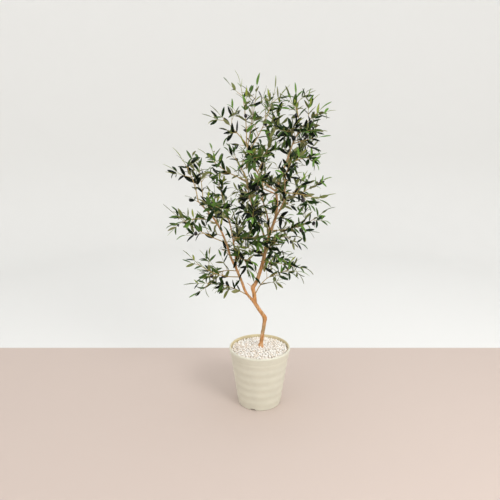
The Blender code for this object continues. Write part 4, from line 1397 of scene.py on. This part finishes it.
class OLIVE_OT_set_stage(bpy.types.Operator):
    """Set the floor, the backdrop, the lights and the camera"""

    bl_idname = "olive.set_stage"
    bl_label = "Set the Stage"

    def execute(self, context):
        settings = context.scene.olive_stage
        self.make_sweep(settings)
        self.make_lights(context)
        self.make_camera(context, settings)
        context.scene.view_settings.view_transform = "Standard"
        return {"FINISHED"}

    def make_sweep(self, settings):
        """A round studio sweep: a floor that curves up into a wall all round."""
        profile = [(0, 0), (SWEEP_RADIUS - COVE_RADIUS, 0)]
        for turn in COVE_TURNS:
            angle = math.radians(turn)
            radius = SWEEP_RADIUS - COVE_RADIUS + COVE_RADIUS * math.sin(angle)
            profile.append((radius, COVE_RADIUS * (1 - math.cos(angle))))
        profile.append((SWEEP_RADIUS, SWEEP_HEIGHT))
        sweep = new_object("sweep", turned(profile, SWEEP_SIDES))
        sweep.data.shade_smooth()
        sweep.data.materials.append(self.matt_paint(settings))

    def matt_paint(self, settings):
        # Matt emulsion paint: even and without sheen, in the floor's colour and behind it in the wall's.
        material, tree, shader, place = new_material("matt painted sweep", 0.9, Specular_IOR_Level=0.1)
        parts = add_node(tree, "ShaderNodeSeparateXYZ", {"Vector": place})
        behind = add_node(tree, "ShaderNodeMapRange", {
            "Value": parts.outputs["Y"],
            "From Min": settings.floor_depth - FLOOR_EDGE_BLUR,
            "From Max": settings.floor_depth + FLOOR_EDGE_BLUR})
        risen = add_node(tree, "ShaderNodeMapRange", {
            "Value": parts.outputs["Z"], "From Min": 0.0, "From Max": WALL_FROM_FLOOR})
        share = add_node(tree, "ShaderNodeMath", {
            0: behind.outputs["Result"], 1: risen.outputs["Result"]}, operation="MAXIMUM")
        mixed = add_node(tree, "ShaderNodeMix", {
            "Factor": share.outputs[0], 6: (*settings.floor, 1), 7: (*settings.wall, 1)}, data_type="RGBA")
        tree.links.new(mixed.outputs[2], shader.inputs["Base Color"])
        return material

    def make_lights(self, context):
        """Soft daylight from above, with a broad window light from the right."""
        world = bpy.data.worlds.new("daylight")
        world.use_nodes = True
        sky = world.node_tree.nodes["Background"]
        sky.inputs["Color"].default_value = (1.0, 1.0, 1.0, 1)
        sky.inputs["Strength"].default_value = DAYLIGHT
        context.scene.world = world
        for lamp in LAMPS:
            light = bpy.data.lights.new(lamp.name, "AREA")
            light.shape = "SQUARE"
            light.size = lamp.size
            light.energy = lamp.power
            made = bpy.data.objects.new(lamp.name, light)
            made.location = lamp.place
            made.rotation_euler = (LAMP_TARGET - made.location).to_track_quat("-Z", "Y").to_euler()
            context.scene.collection.objects.link(made)

    def make_camera(self, context, settings):
        data = bpy.data.cameras.new("camera")
        data.lens = settings.focal_length
        data.sensor_width = SENSOR_WIDTH
        camera = bpy.data.objects.new("camera", data)
        camera.location = (CAMERA_SIDE, -settings.camera_distance, settings.camera_height)
        camera.rotation_euler = (math.pi / 2 - settings.camera_tilt, 0, 0)
        context.scene.collection.objects.link(camera)
        context.scene.camera = camera


# ---------------------------------------------------------------- sidebar and registration

OPERATORS = (
    OLIVE_OT_make_pot,
    OLIVE_OT_make_pebbles,
    OLIVE_OT_grow_wood,
    OLIVE_OT_grow_twigs,
    OLIVE_OT_grow_leaves,
    OLIVE_OT_hang_olives,
    OLIVE_OT_set_stage,
)
SETTINGS = {
    "olive_pot": PotSettings,
    "olive_wood": WoodSettings,
    "olive_foliage": FoliageSettings,
    "olive_stage": StageSettings,
}


class OLIVE_PT_sidebar(bpy.types.Panel):
    """Lists the pieces of the olive tree and their settings"""

    bl_idname = "OLIVE_PT_sidebar"
    bl_label = "Olive Tree"
    bl_space_type = "VIEW_3D"
    bl_region_type = "UI"
    bl_category = "Olive Tree"

    def draw(self, context):
        for operator in OPERATORS:
            self.layout.operator(operator.bl_idname)
        for name, group in SETTINGS.items():
            box = self.layout.box()
            for setting in group.__annotations__:
                box.prop(getattr(context.scene, name), setting)


def register():
    for group in SETTINGS.values():
        bpy.utils.register_class(group)
    for name, group in SETTINGS.items():
        setattr(bpy.types.Scene, name, PointerProperty(type=group))
    for operator in OPERATORS:
        bpy.utils.register_class(operator)
    bpy.utils.register_class(OLIVE_PT_sidebar)


def unregister():
    bpy.utils.unregister_class(OLIVE_PT_sidebar)
    for operator in reversed(OPERATORS):
        bpy.utils.unregister_class(operator)
    for name, group in SETTINGS.items():
        delattr(bpy.types.Scene, name)
        bpy.utils.unregister_class(group)


def main():
    register()
    bpy.ops.olive.make_pot()
    bpy.ops.olive.make_pebbles()
    bpy.ops.olive.grow_wood()
    bpy.ops.olive.grow_twigs()
    bpy.ops.olive.grow_leaves()
    bpy.ops.olive.hang_olives()
    bpy.ops.olive.set_stage()


if __name__ == "__main__":
    main()
